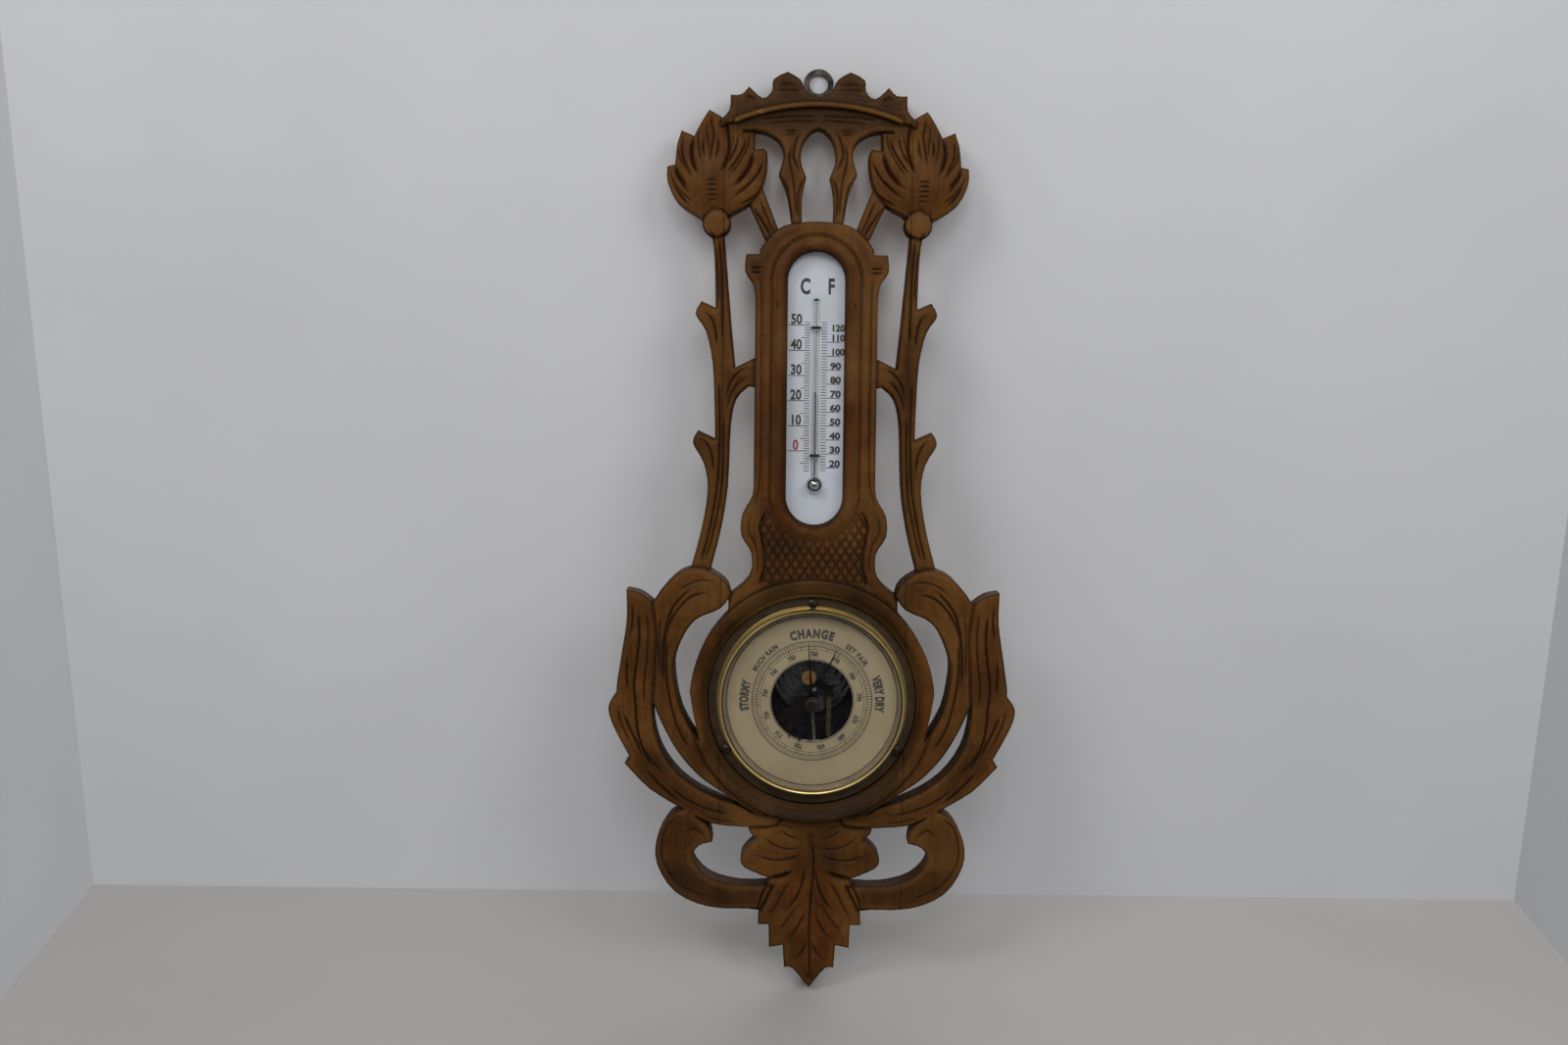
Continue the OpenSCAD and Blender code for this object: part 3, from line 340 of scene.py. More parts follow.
figure = along_grain(0.12, 110.0, 3.0)
streak = along_grain(0.035, 900.0, 2.0)
pits = span(wood, along_grain(0.06, 2200.0, 1.0), 0.60, 0.72, 0.0, 0.45)
tone = calc(wood, "ADD", span(wood, figure, 0.3, 0.7, 0.0, 0.55),
            span(wood, streak, 0.3, 0.7, 0.0, 0.45))
colour = mixed(wood, tone, wood_in["Dark"], wood_in["Light"])
feed(wood, wood_out, "Color", mixed(wood, pits, colour, wood_in["Dark"]))
feed(wood, wood_out, "Height", calc(wood, "SUBTRACT", calc(wood, "MULTIPLY", streak, 0.6), pits))
feed(wood, wood_out, "Patch", span(wood, noise(wood, where, 22.0, 3.0), 0.35, 0.65))
feed(wood, wood_out, "Streak", span(wood, streak, 0.3, 0.7))

# %% [markdown]
# ## Age as a shader group
# Metal, enamel and lacquer never age evenly. The group mixes a fresh colour with an aged one
# by a cloudy mask, and roughens the aged places by the same mask.

# %% Patina group
aged, aged_in, aged_out = new_group(
    "patina", [("Fresh", "Color"), ("Aged", "Color"), ("Fineness", "Float"), ("Amount", "Float"),
               ("Smooth", "Float"), ("Rough", "Float")],
    [("Color", "Color"), ("Roughness", "Float"), ("Height", "Float")])
where = object_place(aged)
cloud = noise(aged, where, aged_in["Fineness"], 6.0, 0.6)
speck = noise(aged, where, calc(aged, "MULTIPLY", aged_in["Fineness"], 9.0), 2.0)
lift = calc(aged, "SUBTRACT", aged_in["Amount"], 0.5)
mask = calc(aged, "ADD", span(aged, cloud, 0.38, 0.66), lift, clamp=True)
mask = times(aged, mask, span(aged, speck, 0.25, 0.6, 0.7, 1.0))
feed(aged, aged_out, "Color", mixed(aged, mask, aged_in["Fresh"], aged_in["Aged"]))
feed(aged, aged_out, "Roughness", span(aged, mask, 0.0, 1.0, aged_in["Smooth"], aged_in["Rough"]))
feed(aged, aged_out, "Height", speck)

# %% [markdown]
# ## The oak
# The board is stained dark, rubbed pale on its high edges by a century of dusting, and nearly
# black where the gouge went deep and in the inner corners, from grime together with painted
# shade. The carving step below stores these places as attributes on the mesh, named cut, rim,
# stain, shade and rust, and the material mixes its colours by them. The cut attribute holds that
# grime with painted shade; shade holds darker regions, with painted shade on the turned ring and
# the slot's wall.
# Noises of three sizes add clouds, blots and haze, so no two places have the same tone. The
# back was never stained, so faces that look at the wall show the raw wood.

# %% Oak material
OAK_DARK = paint(0.043, 0.0130, 0.0018)
OAK_LIGHT = paint(0.120, 0.0450, 0.0070)
OAK_RED = paint(0.074, 0.0190, 0.0022)
OAK_PURPLE = paint(0.026, 0.0085, 0.0062)
OAK_DARK_TONE_AND_SHADE = paint(0.0165, 0.0078, 0.0020)
# Near-black for grime and painted shade in cuts and corners
OAK_CUT_DIRT_AND_SHADE = paint(0.0070, 0.0032, 0.0014)
OAK_WORN = paint(0.176, 0.084, 0.0210)
OAK_BACK = paint(0.185, 0.112, 0.0560)
OAK_SHEEN = 0.08
PORE_DEPTH = 0.00025

oak, tree, shader, output = new_material("carved_oak")


def stored(name):
    return add(tree, "Attribute", attribute_name=name).outputs["Fac"]


where = object_place(tree)
grain = use(tree, wood, Dark=OAK_DARK, Light=OAK_LIGHT, Fineness=1.0)
cloud = noise(tree, where, 34.0, 4.0)
blot = noise(tree, where, 75.0, 7.0, 0.66)
haze = noise(tree, where, 17.0, 2.0)
red = calc(tree, "MULTIPLY", span(tree, cloud, 0.46, 0.66), 0.45)
# The cut attribute: grime together with painted shade in cuts and corners
dirt_and_shade = times(tree, stored("cut"), 0.92)
colour = grain["Color"]
for factor, layer in (
        (calc(tree, "ADD", red, stored("rust"), clamp=True), OAK_RED),
        (times(tree, grain["Patch"], 0.25), mixed(tree, 0.5, OAK_LIGHT, OAK_WORN)),
        (times(tree, stored("stain"), 0.8), OAK_PURPLE),
        (span(tree, blot, 0.50, 0.72, 0.0, 0.55), OAK_DARK_TONE_AND_SHADE),
        (span(tree, blot, 0.47, 0.30, 0.0, 0.35), OAK_WORN),
        # The shade attribute: darker regions, and painted shade on the turned ring and the slot's
        # wall
        (times(tree, stored("shade"), 0.9), OAK_DARK_TONE_AND_SHADE),
        (times(tree, stored("rim"), span(tree, cloud, 0.3, 0.62, 0.10, 0.70)), OAK_WORN),
        (span(tree, haze, 0.50, 0.68, 0.0, 0.45), OAK_DARK_TONE_AND_SHADE),
        (span(tree, haze, 0.48, 0.34, 0.0, 0.30), OAK_WORN),
        (dirt_and_shade, OAK_CUT_DIRT_AND_SHADE)):
    colour = mixed(tree, factor, colour, layer)
facing = add(tree, "SeparateXYZ", {0: add(tree, "NewGeometry").outputs["Normal"]}).outputs[1]
raw = mixed(tree, calc(tree, "MULTIPLY", grain["Streak"], 0.7), OAK_BACK, OAK_LIGHT)
feed(tree, shader, "Base Color", mixed(tree, span(tree, facing, 0.6, 0.9), colour, raw))
gloss = span(tree, grain["Streak"], 0.0, 1.0, 0.40, 0.54)
feed(tree, shader, "Roughness", calc(tree, "ADD", gloss, calc(tree, "MULTIPLY", dirt_and_shade, 0.3)))
shader.inputs["Specular IOR Level"].default_value = OAK_SHEEN
rough_up(tree, grain["Height"], 0.35, PORE_DEPTH)
print("oak nodes", len(tree.nodes))

# %% [markdown]
# ## Where the gouge went
# Each stroke of the carver is a line of given points on the face, in millimetres, with a
# width and a depth. The left half is drawn and mirrored, as a carver lays out a board from a
# folded pattern. Short strokes taper at both ends, as a gouge enters and leaves the wood.

# %% Strokes of the gouge
# Each entry is (width, depth, points on the left half)
STROKES = [
    # crown
    (1.2, 0.35, [(-22, -3), (-17, -2.6), (-12, -3)]),
    (1.2, 0.35, [(-24, -6), (-17, -5.6), (-10, -6)]),
    (1.5, 0.5, [(-32, -20.8), (-22, -19.6), (-10, -19.0), (0, -18.8)]),
    (1.2, 0.4, [(-28, -23.0), (-18, -22.0), (-8, -21.5), (0, -21.3)]),
    (1.3, 0.5, [(-19.5, -27.2), (-15, -26.6), (-11, -26.5)]),
    (1.2, 0.5, [(-18, -29), (-14.5, -28.3), (-11.5, -28)]),
    (1.3, 0.5, [(-40, -10.5), (-37, -9.4), (-33, -11.5)]),
    # columns and struts
    (1.5, 0.7, [(-9, -26.5), (-11.5, -31), (-13.2, -38), (-12.6, -42), (-9.5, -48.5)]),
    (1.5, 0.7, [(-19.5, -50.5), (-16.3, -57), (-14.8, -66), (-13.2, -75)]),
    (1.5, 0.7, [(-7.6, -50.6), (-10.2, -58), (-10.4, -66), (-9.6, -75)]),
    (1.4, 0.6, [(-13.5, -33), (-15.5, -40), (-14.5, -47), (-13.2, -53), (-12.2, -62),
                (-11.6, -73)]),
    (1.6, 0.8, [(-35.5, -66), (-28, -77), (-24.5, -84)]),
    (1.4, 0.6, [(-31.5, -62), (-25.5, -76), (-22.5, -82)]),
    # petals: deep valleys
    (2.6, 1.6, [(-34.2, -36.8), (-36, -44), (-39, -50), (-45, -57)]),
    (2.6, 1.6, [(-66.3, -29.8), (-67.6, -38), (-66.5, -45), (-64, -51)]),
    (2.6, 1.6, [(-76.4, -45), (-74.5, -51), (-69, -58)]),
    (2.4, 1.5, [(-49.8, -21), (-48, -29), (-47.6, -38), (-50, -46), (-52.5, -50)]),
    # petals: fine lines
    (1.4, 0.8, [(-72.5, -30), (-72.8, -38), (-71, -44), (-66.5, -52)]),
    (1.4, 0.8, [(-57, -17), (-57, -23), (-55.7, -29), (-56.6, -36), (-58, -45.6)]),
    (1.4, 0.8, [(-60.8, -30.6), (-61.3, -36), (-60.4, -42)]),
    (1.4, 0.8, [(-53.4, -29.7), (-53.4, -36), (-54.8, -43)]),
    (1.5, 0.9, [(-38.4, -29.7), (-39.8, -36), (-44, -43.7), (-48.7, -50)]),
    (1.4, 0.8, [(-43.0, -28), (-43.4, -34), (-46, -41), (-49.5, -46.5)]),
    (1.5, 0.9, [(-28.6, -42), (-31.9, -49), (-36.5, -55), (-45, -61.5)]),
    (1.5, 0.9, [(-78, -54), (-73, -62), (-68, -67)]),
    (1.4, 0.8, [(-76.5, -46), (-76, -50), (-71.5, -57), (-68, -61)]),
    (1.5, 0.9, [(-31, -59), (-36, -63), (-42, -66.5)]),
    (1.1, 0.6, [(-36.5, -25.5), (-37.4, -34.6), (-42.2, -44.6), (-47.9, -51.8)]),
    (1.1, 0.6, [(-45.6, -25.5), (-45.6, -33.2), (-48.4, -42.2)]),
    (1.1, 0.6, [(-59.2, -21), (-59.4, -28), (-58.4, -36), (-58.8, -42)]),
    (1.1, 0.6, [(-63.6, -24.6), (-64.2, -32), (-63.0, -40), (-61.2, -46)]),
    (1.1, 0.6, [(-74.8, -34.6), (-73.9, -41.8), (-70.2, -48), (-66.5, -53.5)]),
    (1.1, 0.6, [(-30.4, -45), (-32.6, -50.3), (-38.4, -57.5), (-46, -63.2)]),
    (1.1, 0.6, [(-79.4, -48.5), (-76.6, -55), (-71, -61.5), (-65.5, -66)]),
    (1.1, 0.6, [(-33.5, -40), (-36.5, -47.5), (-42.5, -54), (-48.5, -58.5)]),
    # petals: short cross gouges at the heart
    (1.5, 0.7, [(-59.5, -54.0), (-56.5, -53.4), (-53.8, -53.9)]),
    (1.5, 0.7, [(-60.0, -56.6), (-56.5, -55.9), (-53.5, -56.4)]),
    (1.5, 0.7, [(-60.0, -59.2), (-56.5, -58.5), (-53.0, -59.0)]),
    (1.5, 0.7, [(-59.4, -61.8), (-56.5, -61.1), (-53.5, -61.6)]),
    (1.3, 0.6, [(-58.4, -64.2), (-56.0, -63.7), (-53.8, -64.1)]),
    # stems
    (1.5, 0.8, [(-52.6, -84), (-51.2, -100), (-50.6, -118), (-50.3, -140)]),
    (1.3, 0.6, [(-54.3, -88), (-53.0, -104), (-52.6, -118)]),
    (1.5, 0.8, [(-52, -160), (-51.5, -185), (-51.8, -205), (-53, -220), (-56.5, -240),
                (-61, -258)]),
    (1.4, 0.7, [(-49.5, -178), (-49.3, -200), (-50.5, -220), (-54.5, -242), (-58.5, -257)]),
    (1.5, 0.8, [(-60, -123), (-56, -127), (-54, -134), (-53.4, -142)]),
    (1.5, 0.8, [(-61.5, -190.5), (-57.5, -195), (-55.5, -201), (-54.5, -209)]),
    (1.5, 0.8, [(-36, -152), (-41.5, -155), (-46, -161), (-48.5, -170)]),
    (1.3, 0.7, [(-37, -158), (-42, -161.5), (-46, -168), (-47.6, -176)]),
    # frame: ear cuts, nicks and mouldings
    (1.3, 0.9, [(-35.5, -99.3), (-32, -99.6), (-28.8, -99.3)]),
    (1.3, 0.9, [(-35.5, -101.6), (-32, -101.9), (-28.8, -101.6)]),
    (1.0, 0.5, [(-21.3, -117), (-21, -119), (-21.3, -121)]),
    (1.4, 0.9, [(-25, -227), (-27, -232), (-29.4, -238), (-28.6, -243), (-27, -250), (-26.5, -258),
                (-27.5, -264), (-31, -271)]),
    (1.1, 0.4, [(-34, -231), (-35.4, -240), (-31.6, -248), (-30.2, -256), (-31, -266)]),
    (1.1, 0.35, [(-30.6, -104), (-29.6, -112), (-29.4, -140), (-29.4, -190), (-29.8, -214),
                (-33, -228)]),
    # inner leaf
    (1.7, 0.9, [(-66, -272), (-71, -276.5), (-76, -283), (-79, -291), (-80.5, -300), (-81.2, -312),
                (-81, -323)]),
    (1.6, 0.8, [(-57, -274), (-65, -276), (-71, -281), (-76, -288), (-79.5, -297), (-80, -305)]),
    (1.6, 0.8, [(-79, -300), (-79.5, -310), (-79, -322), (-76, -338), (-72, -350), (-66, -360)]),
    (1.3, 0.5, [(-52, -268.5), (-60, -267.5), (-68, -270), (-74, -275)]),
    (1.3, 0.5, [(-82.5, -286), (-83, -296), (-83.2, -308), (-83.4, -320)]),
    # outer leaf
    (1.7, 0.9, [(-95, -285), (-94.3, -300), (-95.5, -312), (-97, -325), (-96, -338), (-95, -350),
                (-91.5, -362), (-86, -372)]),
    (1.5, 0.8, [(-100.5, -309), (-101, -318), (-100.3, -330)]),
    (1.6, 0.9, [(-103, -340), (-99, -350), (-95, -358), (-92, -366)]),
    (1.6, 0.9, [(-91, -371), (-86, -377), (-80, -383), (-72, -390)]),
    (1.5, 0.8, [(-96, -348), (-93, -358), (-88, -366), (-80, -375)]),
    (1.5, 0.7, [(-98.5, -280), (-98, -290), (-99.5, -300)]),
    (1.4, 0.6, [(-105.5, -336), (-105, -343), (-101.5, -352), (-98, -359)]),
    (1.4, 0.6, [(-90.5, -284), (-89.5, -296), (-90, -310), (-91.5, -324), (-91.5, -336)]),
    (1.5, 0.7, [(-78, -381), (-68, -388.5), (-56, -394), (-44, -396.5)]),
    (1.3, 0.5, [(-60, -397.5), (-50, -400), (-40, -400.8)]),
    (1.6, 0.9, [(-45, -389), (-36, -393), (-28, -398)]),
    # bottom scroll
    (1.3, 0.5, [(-71, -397), (-78, -402.5), (-81.2, -412), (-80.5, -423), (-71.5, -436),
                (-56, -443)]),
    (1.4, 0.6, [(-57.5, -411), (-60, -407), (-65, -405), (-69.5, -409)]),
    # tail lobes
    (1.5, 0.7, [(-4, -418), (-12, -421), (-21, -421.5), (-30, -419)]),
    (1.4, 0.6, [(-4, -414), (-12, -415.5), (-20, -413), (-26, -408)]),
    (1.4, 0.6, [(-5, -410), (-12, -408), (-17, -404)]),
    (1.3, 0.5, [(-8, -404.5), (-14, -402.6), (-19, -402)]),
    (3.0, 2.4, [(-23, -432), (-15, -430.5), (-9, -427.5)]),
    # tail leaf veins
    (1.5, 0.8, [(-2.4, -425), (-5, -437), (-9, -445), (-13, -450)]),
    (1.4, 0.7, [(-2.2, -450), (-6, -458), (-9, -463), (-12, -466)]),
    (1.4, 0.7, [(-1.4, -466), (-4, -473), (-8.5, -477.5)]),
    (1.4, 0.6, [(-10, -432), (-15, -440), (-19, -448), (-23, -454)]),
    (1.3, 0.6, [(-6, -446), (-12, -455), (-18, -463)]),
]
# The midrib's centre cut wanders, so it is drawn once and not mirrored
MIDRIB = (1.4, 0.8, [(0.5, -410), (2, -420), (1.5, -435), (0.2, -450), (0, -465), (0.5, -485)])
# The scroll dives under the tail along this line: (width, depth, points)
UNDER_TAIL = (1.2, 0.9, [(-22, -434), (-26.6, -443), (-28.6, -451)])

CURVE_STEPS = 8
V_TOOL = 0.86


def smooth_line(points):
    """A soft curve through the points, CURVE_STEPS steps from each to the next."""
    knots = np.array([points[0]] + points + [points[-1]], dtype=float)
    out = []
    for a, b, c, d in zip(knots, knots[1:], knots[2:], knots[3:]):
        for t in np.arange(CURVE_STEPS) / CURVE_STEPS:
            out.append(0.5 * (2 * b + (c - a) * t + (2 * a - 5 * b + 4 * c - d) * t * t
                       + (3 * b - a - 3 * c + d) * t ** 3))
    return np.array(out + [knots[-1]])


strokes = [(MIDRIB[0], MIDRIB[1], smooth_line(MIDRIB[2]))]
for width, depth, points in STROKES + [UNDER_TAIL]:
    for side in (1, -1):
        strokes.append((width * V_TOOL, depth, smooth_line(points) * [side, 1]))
print(len(strokes), "strokes,", round(sum(np.linalg.norm(np.diff(s[2], axis=0), axis=1).sum()
      for s in strokes)), "mm of gouge cut")

# %% [markdown]
# ## The shape of the surface
# Some places have a form of their own: a stem is round, a leaf is gently crowned. A carver
# sees the board as a few regions and treats each in its own way, so the regions are tables of
# boxes, the same on the left and on the right, and a small function looks a point up in them.

# %% Rounded edges and crowned leaves
FAR = 999
RING_EDGE = 67.5
TURNED_R = 66.6
WAVE_DEPTH = 0.11
# Boxes on the face: (top, bottom, nearest x, farthest x, radius of the edge)
ROUNDING = [(-28, -76, -1, 24, 1.3), (-54, -90, 18, 40, 1.4), (-14, -75, 27, FAR, 1.3),
            (-79, -264, 40.5, FAR, 2.8), (-144, -166, 34, FAR, 2.4), (-259, -FAR, 44, FAR, 1.6),
            (-272, -FAR, 86, FAR, 1.1), (-396, -FAR, 30, FAR, 1.6), (-398, -FAR, -1, 38, 1.0)]
# The same with how much lower the edge of a leaf lies than its middle
CROWNING = [(-14, -75, 27, FAR, 0.5), (-259, -FAR, 44, FAR, 0.7), (-396, -FAR, -1, FAR, 0.6)]


def ramp_between(value, low, high):
    t = np.clip((value - low) / (high - low), 0, 1)
    return t * t * (3 - 2 * t)


def from_dial(x, y):
    return np.hypot(x, y - DIAL_Y)


def in_box(x, y, top, bottom, near, far):
    ax = np.abs(x)
    return (y < top) & (y > bottom) & (ax > near) & (ax < far)


def by_region(regions, elsewhere, on_ring, x, y):
    """The value of the last region that holds each point."""
    value = np.full(len(x), elsewhere)
    for *box, amount in regions:
        value[in_box(x, y, *box)] = amount
    value[from_dial(x, y) < RING_EDGE] = on_ring
    return value


def tool_marks(x, y):
    """The uneven surface that a gouge leaves everywhere but on the turned ring."""
    wave = (np.sin(0.83 * x + 0.41 * y + 1.7) + np.sin(0.37 * x - 0.77 * y + 0.4)
            + np.sin(1.31 * np.abs(x) + 0.23 * y) + np.sin(0.19 * x + 1.13 * y + 2.2)) / 4
    return WAVE_DEPTH * wave * ramp_between(from_dial(x, y), 66.5, 68.5)


print(len(ROUNDING), "regions with their own edge,", len(CROWNING), "crowned ones")

# %% [markdown]
# The crown is dressed with rows of short level cuts, and a smooth bead arches across them with
# one old chip. Under each flower sits a ball that is cut down to a domed button. The lower
# scrolls dive under the tail. Such small forms are easiest as heights over the face.

# %% Crown, buttons and scrolls
# Heights out of the wall: the carved front lies above LOW_FRONT, its leaves above LEAF_FRONT
LOW_FRONT, LEAF_FRONT = 12.5, 15.8
CROWN_BOTTOM, CROWN_HALF = -29, 49
CHISEL_PITCH, CHISEL_DEPTH, CHISEL_WIDTH = 1.9, 0.2, 0.2
BEAD_TOP, BEAD_R, BEAD_HALF, BEAD_REACH, BEAD_END = -13.0, 117.0, 1.5, 47, -32
# The chip in the bead: (x, y, half width, half height)
CHIP = (-31.0, -17.0, 2.4, 0.9)
BALL = (54.0, -75.8)
BALL_REACH, BALL_TOP, BALL_FRONT, FLOWER_END = 6.85, 17.3, 13.2, -70.5
# Where the lower scroll dives: (top, bottom, nearest x, farthest x), and how deep
DIVE_BOX, DIVE_DEPTH = (-428, -452, 19, FAR), 2.3
TAIL_DEPTH = 0.5


def on_bead(x, y, h):
    """The smooth bead that arches across the crown."""
    off = np.abs(np.hypot(x, y - BEAD_TOP + BEAD_R) - BEAD_R)
    return (off < BEAD_HALF) & (np.abs(x) < BEAD_REACH) & (y > BEAD_END) & (h > LEAF_FRONT + 0.1)


def chisel_rows(x, y):
    """Rows of short level cuts that dress the crown above and below its bead."""
    row = (y + 0.5 * np.sin(0.21 * x) + 0.35 * np.sin(0.53 * x + 1)) / CHISEL_PITCH
    number = np.round(row)
    cut = np.clip(1 - np.abs(row - number) / CHISEL_WIDTH, 0, 1)
    broken = np.sin(0.33 * x + 2.4 * number) + np.sin(0.19 * x - 1.7 * number)
    on_crown = (y > CROWN_BOTTOM) & (np.abs(x) < CROWN_HALF)
    return cut * ramp_between(broken, -0.5, 0.2) * on_crown


def from_ball(x, y):
    return np.hypot(np.abs(x) - BALL[0], y - BALL[1])


def button_top(x, y, h):
    """The ball under each flower is cut down to a gently domed button."""
    d = from_ball(x, y)
    button = BALL_TOP - 0.9 * (d / BALL_REACH) ** 4
    return np.where((d < BALL_REACH) & (h > BALL_FRONT) & (y < FLOWER_END), button, h)


def scroll_dive(x, y, h):
    """How far the lower scroll sinks where it runs in under the tail."""
    ax = np.abs(x)
    edge = np.interp(-y, [430, 445, 458], [22.5, 27.4, 28.6])
    dive = np.where(ax < edge, TAIL_DEPTH, DIVE_DEPTH * (1 - ramp_between(ax, 30, 50)))
    return np.where(in_box(x, y, *DIVE_BOX) & (h > LEAF_FRONT), dive, 0.0)


print("rows on the crown", CHISEL_PITCH, "mm apart, buttons", 2 * BALL_REACH, "mm wide")

# %% [markdown]
# The waist under the thermometer is a shallow sunk field, covered in a net of crossing cuts
# with a wavy border. A net is two families of parallel lines, so one coordinate for each
# family and its distance from a whole number say how near a cut is.

# %% The waist and its net of cuts
HATCH_TALL, HATCH_WIDE = 7.5, 4.9
HATCH_CUT, HATCH_DEPTH = 1.15, 0.75
HATCH_PITCH = 1 / math.hypot(1 / HATCH_TALL, 1 / HATCH_WIDE)
SLOT_TOP, SLOT_BOTTOM = -105.5, -222.0
MOULDING_OUT, CHANNEL_OUT, CHANNEL_H = 23.6, 24.6, 16.0
FIELD_X, FIELD_TOP, FIELD_END, FIELD_H = 28.0, -224.0, -269, 16.45
FIELD_EDGE = 1.6
BORDER_Y = (227, 232, 238, 243, 250, 258, 264, 271)
BORDER_X = (25, 27, 29.4, 28.6, 27, 26.5, 27.5, 31)


def from_slot(x, y):
    return np.hypot(x, y - np.clip(y, SLOT_BOTTOM, SLOT_TOP))


def filled_in(x, y, h):
    """The waist field and the line about the moulding are shallow on the real board."""
    s = from_slot(x, y)
    solid = h > LOW_FRONT
    channel = (s > MOULDING_OUT - 1.6) & (s < CHANNEL_OUT + 0.1) & solid
    h = np.where(channel & (h < CHANNEL_H), CHANNEL_H, h)
    field = (np.abs(x) < FIELD_X + 0.1) & (y < FIELD_TOP + 0.1) & (from_dial(x, y) > 66.4)
    return np.where(field & (s > CHANNEL_OUT - 0.1) & solid & (h < FIELD_H), FIELD_H, h)


def field_rim(x, y):
    """The field's own straight outline, which the carver has worked away."""
    ax = np.abs(x)
    side = (np.abs(ax - FIELD_X) < FIELD_EDGE) & (y < FIELD_TOP + FIELD_EDGE) & (y > -272)
    top = (np.abs(y - FIELD_TOP) < FIELD_EDGE) & (ax < FIELD_X + FIELD_EDGE)
    return (side | top) & (from_slot(x, y) > CHANNEL_OUT + 0.4) & (from_dial(x, y) > TURNED_R)


def hatching(x, y, h):
    border = np.interp(-y, BORDER_Y, BORDER_X) - 0.5
    inside = (np.abs(x) < border) & (y < FIELD_TOP) & (y > FIELD_END) & (h > LOW_FRONT)
    inside &= (from_dial(x, y) > 67.0) & (from_slot(x, y) > CHANNEL_OUT + 0.2)
    depth = np.zeros(len(x))
    for sign in (-1, 1):
        u = y / HATCH_TALL + sign * x / HATCH_WIDE
        off = np.abs(u - np.round(u)) * HATCH_PITCH
        depth = np.maximum(depth, np.clip(1 - off / HATCH_CUT, 0, 1))
    return np.where(inside, depth, 0.0)


print("net of the waist: cuts", round(HATCH_PITCH, 2), "mm apart")

# %% [markdown]
# ## Where the colour changes
# A stain soaks in unevenly: rust-red where the wax wore off, purple about the lower scrolls.
# The crown, the stems and the ring are darker; on the ring's top, bottom and inner slope and on
# the slot's inner wall that darkening is painted shade. Soft spots of a given size do for the
# first two, and the boxes of before for the others.

# %% Rust, stain and shade
# Soft spots: (x, y, half width, half height, strength)
RUST = [(-25, -155, 13, 75, 0.85), (8, -165, 40, 110, 0.4), (-18, -225, 10, 12, 0.6),
        (62, -322, 7, 32, 1.0), (1, -455, 15, 32, 0.45), (93, -300, 12, 26, 0.4),
        (-61, -310, 6, 22, 0.25), (78, -282, 14, 12, 0.3), (-84, -392, 26, 10, 0.4)]
STAINS = [(-70, -436, 11, 11, 0.9), (-47, -446, 10, 10, 0.8), (-30, -441, 8, 8, 0.6),
          (-60, -447, 9, 9, 0.7), (44, -446, 9, 9, 0.5), (-84, -365, 8, 8, 0.4),
          (-52, -398, 9, 9, 0.4), (68, -441, 9, 9, 0.3)]
# Boxes on the face: (top, bottom, nearest x, farthest x, how dark)
SHADES = [(-76, -270, -1, 40, 0.22), (-84, -262, 41, FAR, 0.30), (-400, -FAR, 30, FAR, 0.42),
          (-428, -455, 29, FAR, 0.50)]
PLAIN_SHADE, CROWN_SHADE, LEAF_SHADE, SLOT_PAINTED_SHADE = 0.06, 0.68, 0.28, 0.7
SLOT_WALL = 17.6


def spots(places, x, y):
    total = np.zeros(len(x))
    for at_x, at_y, wide, tall, strength in places:
        spot = np.exp(-((x - at_x) / wide) ** 2 - ((y - at_y) / tall) ** 2)
        total = np.maximum(total, strength * spot)
    return total


def shading(x, y):
    """Darker crown, stems and scrolls; painted shade on the turned ring's inner slope, top and
    bottom.
    """
    r = from_dial(x, y)
    on_crown = (1 - ramp_between(-y, 22, 32)) * (np.abs(x) < 52)
    under_ring = ramp_between(-y, 352, 378) * (1 - ramp_between(-y, 398, 404))
    shade = np.maximum(PLAIN_SHADE, CROWN_SHADE * on_crown)
    shade = np.maximum(shade, LEAF_SHADE * under_ring)
    for *box, dark in SHADES:
        shade = np.maximum(shade, dark * in_box(x, y, *box))
    # Painted shade: the turned ring darkens toward its top and bottom and on its inner slope
    upright = np.abs(y - DIAL_Y) / np.maximum(r, 1)
    ring = 0.95 * (1 - ramp_between(r, 58.5, 62.5)) + 1.1 * upright ** 2
    shade = np.where(r < TURNED_R, np.clip(ring, 0.05, 0.95), shade)
    # Painted shade on the slot's inner wall
    return np.where((from_slot(x, y) < SLOT_WALL) & (r > 68), SLOT_PAINTED_SHADE, shade)


print(len(RUST), "rusty and", len(STAINS), "stained places")

# %% [markdown]
# ## Carving a board
# A sculptor's mesh needs small triangles where the knife worked and may stay coarse elsewhere.
# Splitting the CAD's long thin triangles again and again leaves slivers, so each level of the
# front is filled afresh: its own edges are kept, points are strewn inside, dense beside rims
# and strokes, and a Delaunay fill joins them. First come the edges that have to stay.

# %% Edges of the front
FINE, MIDDLE, COARSE = ((0.55, 0.65, 2.2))
FLAT_FRONT = -0.5
LEVEL_WEIGHT = 2.0
GROWTH = 0.45
EDGE_STEP = 0.4
CREASE = 0.2
MERGE, FILL_MERGE = 1e-6, 1e-5
NO_AREA = 1e-13


def face_xyh(vert):
    return vert.co.x / MM, vert.co.z / MM, -vert.co.y / MM


def tree_of(points):
    tree = KDTree(len(points))
    for i, p in enumerate(points):
        tree.insert(p, i)
    tree.balance()
    return tree


def nearest(tree, points):
    return np.array([tree.find(p)[2] for p in points])


